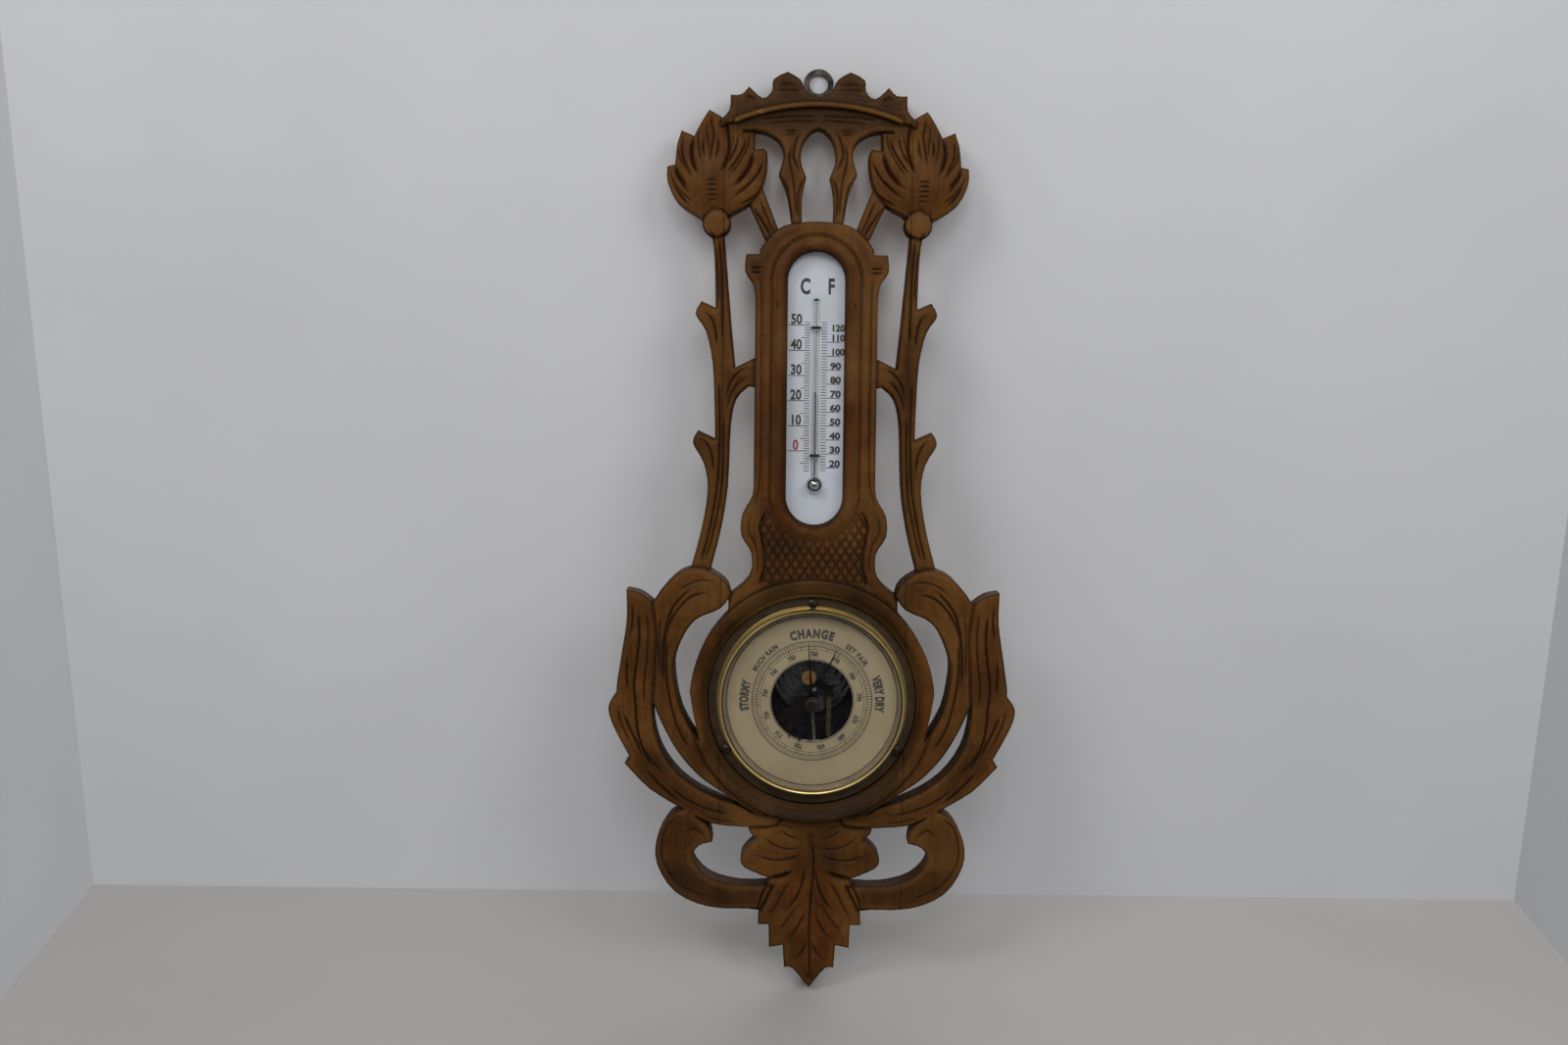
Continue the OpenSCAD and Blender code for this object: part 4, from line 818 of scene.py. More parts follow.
def rims_and_corners(bm):
    """Points along the outer edges and the inner corners of the front, by level."""
    rims, corners = [], []
    for e in bm.edges:
        if len(e.link_faces) != 2:
            continue
        a, b = sorted((f.normal.y for f in e.link_faces))
        if a > -0.7 or abs(b) > 0.35:
            continue
        start, end = e.verts[0].co / MM, e.verts[1].co / MM
        steps = max(1, int((end - start).length / EDGE_STEP))
        row = rims if e.is_convex else corners
        for i in range(steps + 1):
            p = start.lerp(end, i / steps)
            row.append((p.x, p.z, -p.y * LEVEL_WEIGHT))
    return rims, corners


def fronts_of(bm):
    return {f for f in bm.faces if f.normal.y < FLAT_FRONT and f.calc_area() > NO_AREA}


def kept_edges(fronts):
    """The edges that the new fill has to keep: outlines and creases."""
    kept = []
    for e in {e for f in fronts for e in f.edges}:
        inside = [f for f in e.link_faces if f in fronts]
        if len(inside) == 1 or inside[0].normal.angle(inside[1].normal, 0) > CREASE:
            kept.append(e)
    return kept


stroke_tree = tree_of([(x, y, 0) for width, depth, line in strokes for x, y in line])
print("triangles from", FINE, "to", COARSE, "mm")

# %% [markdown]
# The points inside a level come from large squares that are quartered until they suit their
# place. Seen from the front a level is flat, so the fill works in two dimensions, and a ray
# shot at the old surface gives each new point its height.

# %% Fill a level afresh
def wanted_size(x, y, h, rim_tree):
    gap = min(rim_tree.find((x, y, h * LEVEL_WEIGHT))[2], stroke_tree.find((x, y, 0))[2])
    wanted = min(COARSE, FINE + GROWTH * max(0.0, gap - 0.9))
    on_waist = abs(x) < FIELD_X + 2 and FIELD_END < y < FIELD_TOP and h < 16.6
    on_crown = abs(x) < CROWN_HALF + 1 and y > CROWN_BOTTOM
    return min(wanted, MIDDLE) if on_waist or on_crown else wanted


def strewn(low, high, surface, rim_tree, line_tree):
    """Points inside one level, from squares that are quartered until they suit their place."""
    cells = [(low[0] + (i + 0.5) * COARSE, low[1] + (j + 0.5) * COARSE, COARSE)
             for i in range(int((high[0] - low[0]) / COARSE) + 1)
             for j in range(int((high[1] - low[1]) / COARSE) + 1)]
    points = []
    while cells:
        x, y, size = cells.pop()
        hit = surface(x, y)
        if hit is None and size < FINE * 1.5:
            continue
        wanted = FINE if hit is None else wanted_size(x, y, -hit.y / MM, rim_tree)
        if size > wanted * 1.25:
            q = size / 4
            cells += [(x - q, y - q, size / 2), (x + q, y - q, size / 2),
                      (x - q, y + q, size / 2), (x + q, y + q, size / 2)]
        elif hit is not None and line_tree.find((x, y, 0))[2] > 0.5 * size:
            points.append(((x, y), hit))
    return points


def fill_level(bm, level, rim_tree):
    lines = kept_edges(level)
    old = list({v for f in level for v in f.verts})
    index = {v: i for i, v in enumerate(old)}
    hull = BVHTree.FromPolygons([v.co for v in old], [[index[v] for v in f.verts] for f in level])

    def surface(x, y):
        return hull.ray_cast(Vector((x * MM, -1.0, y * MM)), Vector((0, 1, 0)))[0]

    edge_verts = list({v for e in lines for v in e.verts})
    outline = [face_xyh(v)[:2] for v in edge_verts]
    line_tree = tree_of([(x, y, 0) for x, y in outline])
    low, high = np.min(outline, axis=0), np.max(outline, axis=0)
    inner = strewn(low, high, surface, rim_tree, line_tree)
    index = {v: i for i, v in enumerate(edge_verts)}
    flat = [Vector(p) for p in outline] + [Vector(p) for p, hit in inner]
    ties = [(index[e.verts[0]], index[e.verts[1]]) for e in lines]
    points, _, triangles, sources, _, _ = delaunay_2d_cdt(flat, ties, [], 0, FILL_MERGE, True)
    made = {}

    def vert(i):
        if i not in made:
            source = sources[i][0] if sources[i] else None
            if source is not None and source < len(edge_verts):
                made[i] = edge_verts[source]
            else:
                hit = surface(*points[i]) if source is None else inner[source - len(edge_verts)][1]
                made[i] = bm.verts.new(hit) if hit is not None else None
        return made[i]

    bmesh.ops.delete(bm, geom=list(level), context="FACES_ONLY")
    for triangle in triangles:
        x, y = sum((points[i] for i in triangle), Vector((0, 0))) / 3
        if surface(x, y) is None:
            continue
        corners = [vert(i) for i in triangle]
        if None not in corners and len(set(corners)) == 3 and not bm.faces.get(corners):
            bm.faces.new(corners)


def refill_front(bm, rim_tree):
    """Fills every level of the front afresh with well-shaped triangles."""
    bmesh.ops.dissolve_degenerate(bm, edges=bm.edges, dist=MERGE)
    bm.normal_update()
    by_cuts = {}
    for e in kept_edges(fronts_of(bm)):
        by_cuts.setdefault(int(e.calc_length() / MM / FINE), []).append(e)
    for cuts, edges in by_cuts.items():
        if cuts:
            bmesh.ops.subdivide_edges(bm, edges=edges, cuts=cuts)
    bmesh.ops.triangulate(bm, faces=[f for f in bm.faces if len(f.verts) > 3])
    bm.normal_update()
    todo = fronts_of(bm)
    while todo:
        level, queue = set(), [todo.pop()]
        while queue:
            f = queue.pop()
            level.add(f)
            for near in (g for e in f.edges for g in e.link_faces if g in todo):
                todo.discard(near)
                queue.append(near)
        fill_level(bm, level, rim_tree)
    bmesh.ops.delete(bm, geom=[e for e in bm.edges if not e.link_faces], context="EDGES")
    bmesh.ops.delete(bm, geom=[v for v in bm.verts if not v.link_faces], context="VERTS")


print("a level is quartered from squares of", COARSE, "mm")

# %% [markdown]
# A stroke is a row of short straight runs. Each point of the wood looks for the nearest run of
# each stroke in reach: the gap gives the depth of the cut's slope, and the way along the
# stroke gives the taper at its ends. Beside a cut the wood is pressed down a little, as a real
# gouge does.

# %% Depth of the strokes
HALF_CUT = 0.62
TAPER_LENGTH, TAPER_SHARE, TAPER_WIDTH = 6.0, 0.35, 0.45
SHOULDER = 0.22


def stroke_depths(x, y):
    """How deep the strokes go at each point, and how much grime and painted shade they leave."""
    depth, dark = np.zeros(len(x)), np.zeros(len(x))
    for width, deep, line in strokes:
        reach = width * 1.2 + 3
        low, high = line.min(axis=0) - reach, line.max(axis=0) + reach
        near = np.where((x > low[0]) & (x < high[0]) & (y > low[1]) & (y < high[1]))[0]
        if not len(near):
            continue
        p = np.stack([x[near], y[near]], axis=1)[:, None, :]
        a, d = line[:-1][None], np.diff(line, axis=0)[None]
        lengths = np.linalg.norm(d, axis=2)
        t = np.clip(((p - a) * d).sum(axis=2) / np.maximum(lengths ** 2, 1e-9), 0, 1)
        gap = np.linalg.norm(p - a - t[..., None] * d, axis=2)
        best = gap.argmin(axis=1)
        rows = np.arange(len(near))
        gap, t = gap[rows, best], t[rows, best]
        run = np.concatenate([[0], np.cumsum(lengths[0])])
        along = run[best] + t * lengths[0][best]
        ends = np.minimum(along, run[-1] - along)
        taper = ramp_between(ends, -0.6, min(TAPER_LENGTH, run[-1] * TAPER_SHARE))
        half = width * HALF_CUT * (1 - TAPER_WIDTH + TAPER_WIDTH * taper)
        cut = np.clip(1 - gap / half, 0, 1) ** 0.9
        shoulder = SHOULDER * np.exp(-(gap / (width * 1.1)) ** 2)
        depth[near] = np.maximum(depth[near], deep * taper * (cut + shoulder))
        # Grime with painted shade inside the cut
        groove_dirt_and_shade = np.clip(1.25 - gap / (half * 0.9), 0, 1) * min(1.0, 0.55 + deep * 0.5)
        dark[near] = np.maximum(dark[near], taper ** 0.5 * groove_dirt_and_shade)
    return depth, dark


print("deepest stroke", max(s[1] for s in strokes), "mm")

# %% [markdown]
# Now each board is carved. A copy of the CAD mesh is merged and refilled, and its points sink
# into the wood by the sum of all that was drawn above. Only the waist field and the line about
# the moulding are lifted a little, still below the frame about them, so the board keeps its
# size. Grime and painted shade darken cuts, corners and the foot of each button, glue seams are
# dark, and wear shows on rims, so all come from the same distances and are stored for the oak
# material.

# %% Carve the three boards
SEAM_X = 50.0
SEAM_HALF = 0.05
SHARP_ANGLE = 0.62
SEAM_DROP, SEAM_GROOVE = 0.35, 0.5
CROWN_WIDTH = 5
CHIP_WEAR, BEAD_WEAR, BUTTON_WEAR = 4.0, 0.8, 0.55
OUT_OF_REACH = 9


def carved_heights(place, front, to_edge, to_seam, to_corner):
    """New heights of all points, and the grime with painted shade and the wear of those on the
    front.
    """
    x, y, h = place[front].T
    radius = by_region(ROUNDING, 0.8, 0.5, x, y)
    short = np.clip(radius - to_edge, 0, None)
    drop = radius - np.sqrt(np.maximum(radius ** 2 - short ** 2, 0))
    crown = by_region(CROWNING, 0.15, 0.0, x, y)
    drop += crown * (1 - np.clip(to_edge / CROWN_WIDTH, 0, 1)) ** 2
    drop += SEAM_DROP * np.clip(1 - to_seam / SEAM_GROOVE, 0, 1)
    cuts, dark = stroke_depths(x, y)
    net = hatching(x, y, h)
    calm = ramp_between(to_edge, 0.2, 1.4)
    drop += cuts * (0.25 + 0.75 * calm) + net * HATCH_DEPTH + tool_marks(x, y) * calm
    bead = on_bead(x, y, h)
    rows = np.where(bead, 0, chisel_rows(x, y)) * calm
    drop += rows * CHISEL_DEPTH + scroll_dive(x, y, h)
    height = filled_in(*place.T)
    height[front] = button_top(x, y, height[front]) - np.maximum(drop, 0.0)

    # Grime and painted shade in the cuts, the net and the inner corners, with the dark glue seams
    # and the chisel rows
    dirt_and_shade = np.maximum(dark, net ** 0.8 * 0.85)
    for more_dirt_and_shade in (0.75 * np.clip(1.15 - to_corner / 1.6, 0, 1),
                     0.55 * np.clip(1 - to_seam / 0.6, 0, 1), 0.4 * rows):
        dirt_and_shade = np.maximum(dirt_and_shade, more_dirt_and_shade)
    worn = 0.35 * np.exp(-((to_edge - 1.9) / 1.2) ** 2) * (1 - np.clip(dirt_and_shade * 1.4, 0, 1))
    worn = np.where(bead, BEAD_WEAR, worn)
    chipped = ((x - CHIP[0]) / CHIP[2]) ** 2 + ((y - CHIP[1]) / CHIP[3]) ** 2 < 1
    worn = np.where(chipped, CHIP_WEAR, worn)
    ball = from_ball(x, y)
    worn = np.where((ball < BALL_REACH - 0.4) & (h > BALL_FRONT), BUTTON_WEAR, worn)
    # A dark ring about each button's foot: painted shade
    dirt_and_shade = np.where((ball > BALL_REACH) & (ball < BALL_REACH + 1.5) & (y < -66), 0.8, dirt_and_shade)
    dirt_and_shade = np.where(bead, dirt_and_shade * 0.3, dirt_and_shade)
    return height, dirt_and_shade, worn


def stored_levels(place, front, to_edge, dirt_and_shade, worn):
    """The attributes that the oak material reads, for all points."""
    all_x, all_y, all_h = place.T
    x, y, h = place[front].T
    # cut: grime and painted shade; side walls evenly darker, the field's worked outline nearly
    # clean
    cut = np.where(field_rim(all_x, all_y) & (all_h > LOW_FRONT), 0.1, 0.62)
    rim, shade = np.zeros(len(place)), shading(all_x, all_y)
    beside = np.abs(from_slot(x, y) - CHANNEL_OUT) < 3
    cut[front], rim[front] = np.where(beside, dirt_and_shade * 0.6, dirt_and_shade), worn
    soft = 0.8 * np.exp(-(to_edge / 1.1) ** 2)
    at_edge = np.where(beside | (from_dial(x, y) < TURNED_R), 0, soft)
    shade[front] = np.where(on_bead(x, y, h), 0.05, np.maximum(shade[front], at_edge))
    return {"cut": cut, "rim": rim, "shade": shade, "stain": spots(STAINS, all_x, all_y),
            "rust": spots(RUST, all_x, all_y)}


def mark_smooth(faces, edges, sharp):
    for f in faces:
        f.smooth = True
    for e in edges:
        e.smooth = len(e.link_faces) == 2 and e.calc_face_angle(0) < sharp


def carve(node, name):
    bm = bmesh.new()
    bm.from_mesh(frame["nodes"][node].data)
    bmesh.ops.remove_doubles(bm, verts=bm.verts, dist=MERGE)
    bm.normal_update()
    rims, corners = rims_and_corners(bm)
    seams = [p for p in rims if abs(abs(p[0]) - SEAM_X) < SEAM_HALF]
    edges = [p for p in rims if abs(abs(p[0]) - SEAM_X) >= SEAM_HALF]
    refill_front(bm, tree_of(rims))
    bm.normal_update()

    verts = list(bm.verts)
    place = np.array([face_xyh(v) for v in verts])
    front = np.array([any(f.normal.y < FLAT_FRONT for f in v.link_faces) for v in verts])
    at = [(x, y, h * LEVEL_WEIGHT) for x, y, h in place[front]]
    to_edge, to_seam, to_corner = (nearest(tree_of(row), at) for row in (edges, seams, corners))
    flush = field_rim(*place[front].T[:2])
    to_edge, to_corner = (np.where(flush, OUT_OF_REACH, gap) for gap in (to_edge, to_corner))
    height, dirt_and_shade, worn = carved_heights(place, front, to_edge, to_seam, to_corner)
    for v, h in zip(verts, height):
        v.co.y = -h * MM

    bm.normal_update()
    mark_smooth(bm.faces, bm.edges, SHARP_ANGLE)
    mesh = bpy.data.meshes.new(name)
    bm.to_mesh(mesh)
    bm.free()
    for layer in [a for a in mesh.attributes if a.name == "custom_normal"]:
        mesh.attributes.remove(layer)
    for label, values in stored_levels(place, front, to_edge, dirt_and_shade, worn).items():
        layer = mesh.attributes.new(label, "FLOAT", "POINT")
        layer.data.foreach_set("value", values.astype(np.float32))
    mesh.materials.clear()
    mesh.materials.append(oak)
    board = bpy.data.objects.new(name, mesh)
    bpy.context.collection.objects.link(board)
    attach(board, "case")
    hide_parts(node)
    print(name, len(mesh.vertices), "points,", len(mesh.polygons), "triangles")


for node, name in (("centre_board", "carved_centre"), ("left_wing", "carved_left"),
                   ("right_wing", "carved_right")):
    carve(node, name)

# %% [markdown]
# ## Finishes for the parts from the CAD model
# The CAD parts already have the right shape, so they only get a finish. One recipe serves
# most of them: a patina between a fresh and an aged colour, with its roughness and a fine
# bump. Metals differ from lacquers only in the Metallic value and in their colours.

# %% Finish recipe
BUMP_DEPTH = 0.00006
COAT_ROUGHNESS = 0.08


def finish(name, fresh, worn, metallic, smooth, rough, fineness=160.0, amount=0.5, bump=0.25,
           coat=0.0, specular=0.5):
    material, tree, shader, output = new_material(name)
    skin = use(tree, aged, Fresh=paint(*fresh), Aged=paint(*worn), Fineness=fineness,
               Amount=amount, Smooth=smooth, Rough=rough)
    feed(tree, shader, "Base Color", skin["Color"])
    feed(tree, shader, "Roughness", skin["Roughness"])
    for socket, value in (("Metallic", metallic), ("Coat Weight", coat),
                          ("Coat Roughness", COAT_ROUGHNESS), ("Specular IOR Level", specular)):
        shader.inputs[socket].default_value = value
    rough_up(tree, skin["Height"], bump, BUMP_DEPTH)
    return material


finishes = {
    # dark, oxidised sheet of the hanger and the screws in the back
    "iron": finish("oxidised_iron", (0.060, 0.056, 0.048), (0.030, 0.020, 0.013),
                   0.75, 0.42, 0.75, 220.0, 0.55, 0.5),
    # opal glass of the thermometer plate, faintly clouded
    "milk_glass": finish("opal_glass", (0.52, 0.545, 0.60), (0.44, 0.45, 0.46),
                         0.0, 0.16, 0.30, 45.0, 0.35, 0.05, 0.3),
    "mercury": finish("mercury", (0.62, 0.63, 0.66), (0.36, 0.36, 0.38),
                      1.0, 0.05, 0.12, 300.0, 0.3, 0.0),
    "tie_wire": finish("black_wire", (0.012, 0.011, 0.010), (0.030, 0.024, 0.018),
                       0.3, 0.35, 0.6, 600.0),
    # browned flange of the movement's case, rubbed here and there
    "dull_metal": finish("browned_case", (0.050, 0.031, 0.0105), (0.026, 0.0155, 0.0050),
                         0.1, 0.42, 0.66, 120.0, 0.6, 0.4, specular=0.2),
    # without a bump: the bright line of its lip has to run smoothly
    "bezel_brass": finish("polished_brass", (0.54, 0.40, 0.17), (0.34, 0.24, 0.10),
                          1.0, 0.30, 0.36, 90.0, 0.16, 0.0),
    "dark_screw": finish("burnished_screw", (0.045, 0.036, 0.026), (0.018, 0.013, 0.009),
                         0.8, 0.3, 0.55, 500.0),
    "cream_enamel": finish("cream_enamel", (0.272, 0.214, 0.128), (0.220, 0.165, 0.092),
                           0.0, 0.32, 0.48, 38.0, 0.45, 0.05, 0.15),
    # the spacer ring's cream, darker as painted shade under the bezel's lip
    "cream_rim": finish("cream_rim", (0.175, 0.138, 0.082), (0.125, 0.095, 0.052),
                        0.0, 0.35, 0.5, 60.0, 0.45, 0.05, 0.1),
    "movement_brass": finish("aged_brass", (0.30, 0.20, 0.075), (0.10, 0.064, 0.024),
                             1.0, 0.26, 0.5, 260.0, 0.5, 0.3),
    # brass painted dark as painted shade, for the parts that lie in the dark of the movement
    "dark_brass": finish("blackened_brass", (0.020, 0.015, 0.009), (0.008, 0.006, 0.005),
                         0.9, 0.3, 0.55, 260.0, 0.5, 0.3),
    "collar_brass": finish("collar_brass", (0.44, 0.29, 0.085), (0.20, 0.085, 0.022),
                           1.0, 0.3, 0.5, 420.0, 0.5, 0.3),
    "lever_brass": finish("lever_brass", (0.13, 0.105, 0.045), (0.060, 0.046, 0.020),
                          1.0, 0.3, 0.5, 260.0, 0.5, 0.3),
    "black_lacquer": finish("black_lacquer", (0.0022, 0.0024, 0.0045), (0.005, 0.0048, 0.006),
                            0.0, 0.22, 0.42, 140.0, 0.4, 0.2, 0.0, 0.25),
    # the capsule's metal is painted dark: painted shade under the dial and glass
    "capsule_metal": finish("capsule_metal", (0.050, 0.050, 0.053), (0.016, 0.015, 0.016),
                            1.0, 0.10, 0.17, 150.0, 0.35, 0.04),
    # steel painted dark: painted shade inside the movement
    "steel": finish("polished_steel", (0.20, 0.20, 0.21), (0.06, 0.054, 0.05),
                    1.0, 0.14, 0.36, 300.0, 0.45, 0.15),
    "blued_steel": finish("blued_steel", (0.010, 0.011, 0.028), (0.006, 0.006, 0.010),
                          0.8, 0.2, 0.4, 400.0),
    "hand_brass": finish("hand_brass", (0.52, 0.46, 0.34), (0.22, 0.18, 0.12),
                         1.0, 0.16, 0.34, 400.0, 0.5, 0.08),
    "bronze": finish("dark_bronze", (0.036, 0.027, 0.018), (0.016, 0.011, 0.007),
                     0.85, 0.34, 0.6, 350.0, 0.5, 0.4),
    "card": finish("pressed_card", (0.22, 0.175, 0.12), (0.13, 0.10, 0.07),
                   0.0, 0.8, 0.95, 300.0, 0.5, 0.8, specular=0.2),
    "ink": finish("printers_ink", (0.018, 0.016, 0.014), (0.050, 0.044, 0.036),
                  0.0, 0.5, 0.7, 500.0, 0.35),
    "red_ink": finish("red_ink", (0.25, 0.030, 0.022), (0.19, 0.035, 0.026),
                      0.0, 0.5, 0.7, 500.0, 0.35),
    "oak": oak,
}
print(len(finishes), "finishes")

# %% [markdown]
# Clear glass is a plain transmitting shader with a few smears. The thermometer's tube is the
# same glass without smears, and its sides are darker, because there one looks along its
# wall.

# %% Glass and backing board
GLASS_IOR = 1.46


def clear_glass(name):
    material, tree, shader, output = new_material(name)
    for socket, value in (("Base Color", paint(0.97, 0.985, 0.98)), ("IOR", GLASS_IOR),
                          ("Transmission Weight", 1.0), ("Roughness", 0.0)):
        shader.inputs[socket].default_value = value
    shadow = add(tree, "LightPath").outputs["Is Shadow Ray"]
    air = add(tree, "BsdfTransparent").outputs[0]
    lit = add(tree, "MixShader", {0: shadow, 1: shader.outputs[0], 2: air})
    feed(tree, output, 0, lit.outputs[0])
    finishes[name] = material
    return tree, shader


tree, shader = clear_glass("glass")
smear = noise(tree, object_place(tree), 70.0, 3.0)
feed(tree, shader, "Roughness", span(tree, smear, 0.45, 0.75, 0.0, 0.06))
tree, shader = clear_glass("tube_glass")
side = span(tree, add(tree, "LayerWeight", {"Blend": 0.5}).outputs["Facing"], 0.35, 0.85)
wall = mixed(tree, side, paint(0.78, 0.78, 0.75), paint(0.16, 0.16, 0.15))
feed(tree, shader, "Base Color", wall)

finishes["backing_wood"], tree, shader, output = new_material("plain_board")
grain = use(tree, wood, Dark=paint(0.11, 0.060, 0.027), Light=paint(0.23, 0.135, 0.065),
            Fineness=1.4)
feed(tree, shader, "Base Color", grain["Color"])
feed(tree, shader, "Roughness", span(tree, grain["Streak"], 0.0, 1.0, 0.55, 0.75))
rough_up(tree, grain["Height"], 0.4, 0.0003)
print("glass with an index of", GLASS_IOR)

# %% [markdown]
# Some parts change colour along their length: the bezel's inner slope is painted dark as a
# painted reflection, the upper half of the set hand is painted dark as a painted reflection and
# that of the lever as painted shade, and the tube has a dark tip where it was drawn shut. Another
# colour is mixed in by the place on the part, so no part needs two materials.

# %% Colours by place
LIP_R, LIP_SOFT = 49.1, 0.2
LIP_PAINTED_REFLECTION = paint(0.060, 0.040, 0.017)
TUBE_TIP = node_box("thermometer_tube")[1][2] - 1.2
# The hand's dark upper half is a painted reflection and the lever's is painted shade; the tube's
# dark tip is its own colour
# (finish, from this y on the face, to this y, colour above it)
TINTS_SHADE_AND_REFLECTION = (("hand_brass", DIAL_Y - 2, DIAL_Y, paint(0.010, 0.009, 0.008)),
         ("lever_brass", DIAL_Y, DIAL_Y + 3, paint(0.012, 0.010, 0.008)),
         ("tube_glass", TUBE_TIP - 0.5, TUBE_TIP, paint(0.02, 0.02, 0.02)))


def repaint(tree, factor, colour):
    """Mix another colour into a finish where factor, made in its own node tree, says so."""
    before = shader_of(tree).inputs["Base Color"].links[0].from_socket
    feed(tree, shader_of(tree), "Base Color", mixed(tree, factor, before, colour))


def part_xyz(tree):
    return add(tree, "SeparateXYZ", {0: object_place(tree)}).outputs


for key, low, high, colour in TINTS_SHADE_AND_REFLECTION:
    tree = finishes[key].node_tree
    repaint(tree, span(tree, part_xyz(tree)[2], low * MM, high * MM), colour)
# The bezel's inner slope is painted dark: a painted reflection
tree = finishes["bezel_brass"].node_tree
x, _, z = part_xyz(tree)
z = calc(tree, "SUBTRACT", z, DIAL_Y * MM)
out = calc(tree, "SQRT", calc(tree, "ADD", calc(tree, "MULTIPLY", x, x),
                              calc(tree, "MULTIPLY", z, z)))
inside = span(tree, out, (LIP_R + LIP_SOFT) * MM, (LIP_R - LIP_SOFT) * MM)
repaint(tree, inside, LIP_PAINTED_REFLECTION)

slot_of = {row["node"]: row["material_slot"] for row in frame["record"]["subparts"]}
# These parts get brass painted dark, as painted shade in the movement
for node in ("spindle_bridge", "upper_cock", "spring_bridge", "dial_pillars", "shaft_brackets"):
    slot_of[node] = "dark_brass"
slot_of.update(thermometer_tube="tube_glass", spacer_ring="cream_rim", spring_collar="collar_brass",
               lever_arm="lever_brass")
for node, thing in frame["nodes"].items():
    for holder in thing.material_slots:
        holder.material = finishes[slot_of[node]]
print("finished", len(slot_of), "CAD parts")

# %% [markdown]
# ## Printing
# The scales are printed in ink. Each letter and line is a thin solid, a few hundredths of a
# millimetre thick, that lies in its plate's surface. A word is first set straight as text, made a
# mesh, and then bent round the dial by turning its x into an angle.

# %% Printing helpers
INK_SUNK, INK_PROUD = 0.02, 0.03


def word_mesh(words, tracking, weight):
    curve = bpy.data.curves.new("word", "FONT")
    for key, value in dict(body=words, size=1.0, align_x="CENTER", resolution_u=3, extrude=0.1,
                           space_character=tracking, offset=weight).items():
        setattr(curve, key, value)
    setter = bpy.data.objects.new("word", curve)
    bpy.context.collection.objects.link(setter)
    bpy.context.view_layer.update()
    ready = setter.evaluated_get(bpy.context.evaluated_depsgraph_get())
    mesh = bpy.data.meshes.new_from_object(ready)
    bpy.data.objects.remove(setter)
    bpy.data.curves.remove(curve)
    return mesh


def print_word(bm, words, size, place, h, stretch, tracking, weight):
    """Adds a word to bm. place turns (x, y) in millimetres on the line of print into the face."""
    mesh = word_mesh(words, tracking, weight)
    old = set(bm.verts)
    bm.from_mesh(mesh)
    bpy.data.meshes.remove(mesh)
    fresh = [v for v in bm.verts if v not in old]
    for v in fresh:
        up = INK_PROUD if v.co.z > 0 else -INK_SUNK
        v.co = face(*place(v.co.x * size * stretch, v.co.y * size), h + up)
    bmesh.ops.remove_doubles(bm, verts=fresh, dist=1e-7)


def straight(at_x, at_y):
    return lambda x, y: (at_x + x, at_y + y)


def round_dial(radius, degrees):
    """A line of print on a circle about the dial's centre, read from the inside."""
    def place(x, y):
        angle = math.radians(degrees) + x / radius
        return (radius + y) * math.sin(angle), DIAL_Y + (radius + y) * math.cos(angle)
    return place


def bar(bm, a, b, width, h):
    """A printed line from a to b."""
    a, b = Vector(a), Vector(b)
    run, middle = b - a, (a + b) / 2
    turn = Matrix.Rotation(math.atan2(run.y, run.x), 4, "Z")
    size = Matrix.Diagonal((run.length, width, INK_PROUD + INK_SUNK, 1))
    flat = Matrix.Translation((middle.x, middle.y, h + (INK_PROUD - INK_SUNK) / 2)) @ turn @ size
    for v in bmesh.ops.create_cube(bm, size=1.0, matrix=flat)["verts"]:
        v.co = face(*v.co)


def ring_line(bm, radius, width, h, steps=120):
    """A printed circle: a small rectangle spun about the dial's axis."""
    corners = [(radius, -INK_SUNK), (radius + width, -INK_SUNK), (radius + width, INK_PROUD),
               (radius, INK_PROUD)]
    verts = [bm.verts.new(face(0, DIAL_Y + r, h + up)) for r, up in corners]
    edges = [bm.edges.new((verts[i], verts[(i + 1) % 4])) for i in range(4)]
    bmesh.ops.spin(bm, geom=verts + edges, cent=face(0, DIAL_Y, h), axis=(0, 1, 0),
                   angle=math.tau, steps=steps, use_merge=True)


def new_piece(bm, name, material, body, replaced=(), smooth=None):
    bmesh.ops.recalc_face_normals(bm, faces=bm.faces)
    if smooth is not None:
        mark_smooth(bm.faces, bm.edges, smooth)
    mesh = bpy.data.meshes.new(name)
    bm.to_mesh(mesh)
    bm.free()
    mesh.materials.append(material)
    piece = bpy.data.objects.new(name, mesh)
    bpy.context.collection.objects.link(piece)
    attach(piece, body)
    if replaced:
        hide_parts(*replaced)
    print(name, len(mesh.polygons), "faces")


print("ink stands", INK_PROUD, "mm proud")

# %% [markdown]
# ## The dial
# The real dial carries weather words in its own language. Here the classic words of any
# barometer stand in their places. The numbers are millimetres of mercury, and 760 lies just
# right of the top. The ring of ticks has one for each millimetre, longer ones at each five.

# %% Print the dial
DEGREES_PER_MM = 2.769
DEGREES_AT_760 = 2.0
FIRST_TICK, TICKS, TICK_WIDTH = 665, 130, 0.38
TICK_OUT, TICK_TEN, TICK_FIVE, TICK_ONE = 32.5, 27.6, 28.3, 29.9
# The circle near the rim, at 46.2 mm, is not print but a painted shadow line at the spacer ring's
# edge
# Circles of the scale, of the opening and near the rim: (radius, width)
RINGS_AND_SHADOW_LINE = ((TICK_OUT, 0.44), (TICK_ONE - 0.2, 0.36), (TICK_FIVE - 0.1, 0.28), (22.55, 0.45),
         (46.2, 0.5))
NUMBER_SIZE, NUMBER_R, NUMBER_WEIGHT = 3.5, 24.6, 0.055
NUMBER_STRETCH, NUMBER_TRACKING = 0.74, 1.06
# Lettering: (size, radius, weight)
BOLD, SMALL = (6.4, 34.8, 0.065), (3.9, 34.1, 0.06)
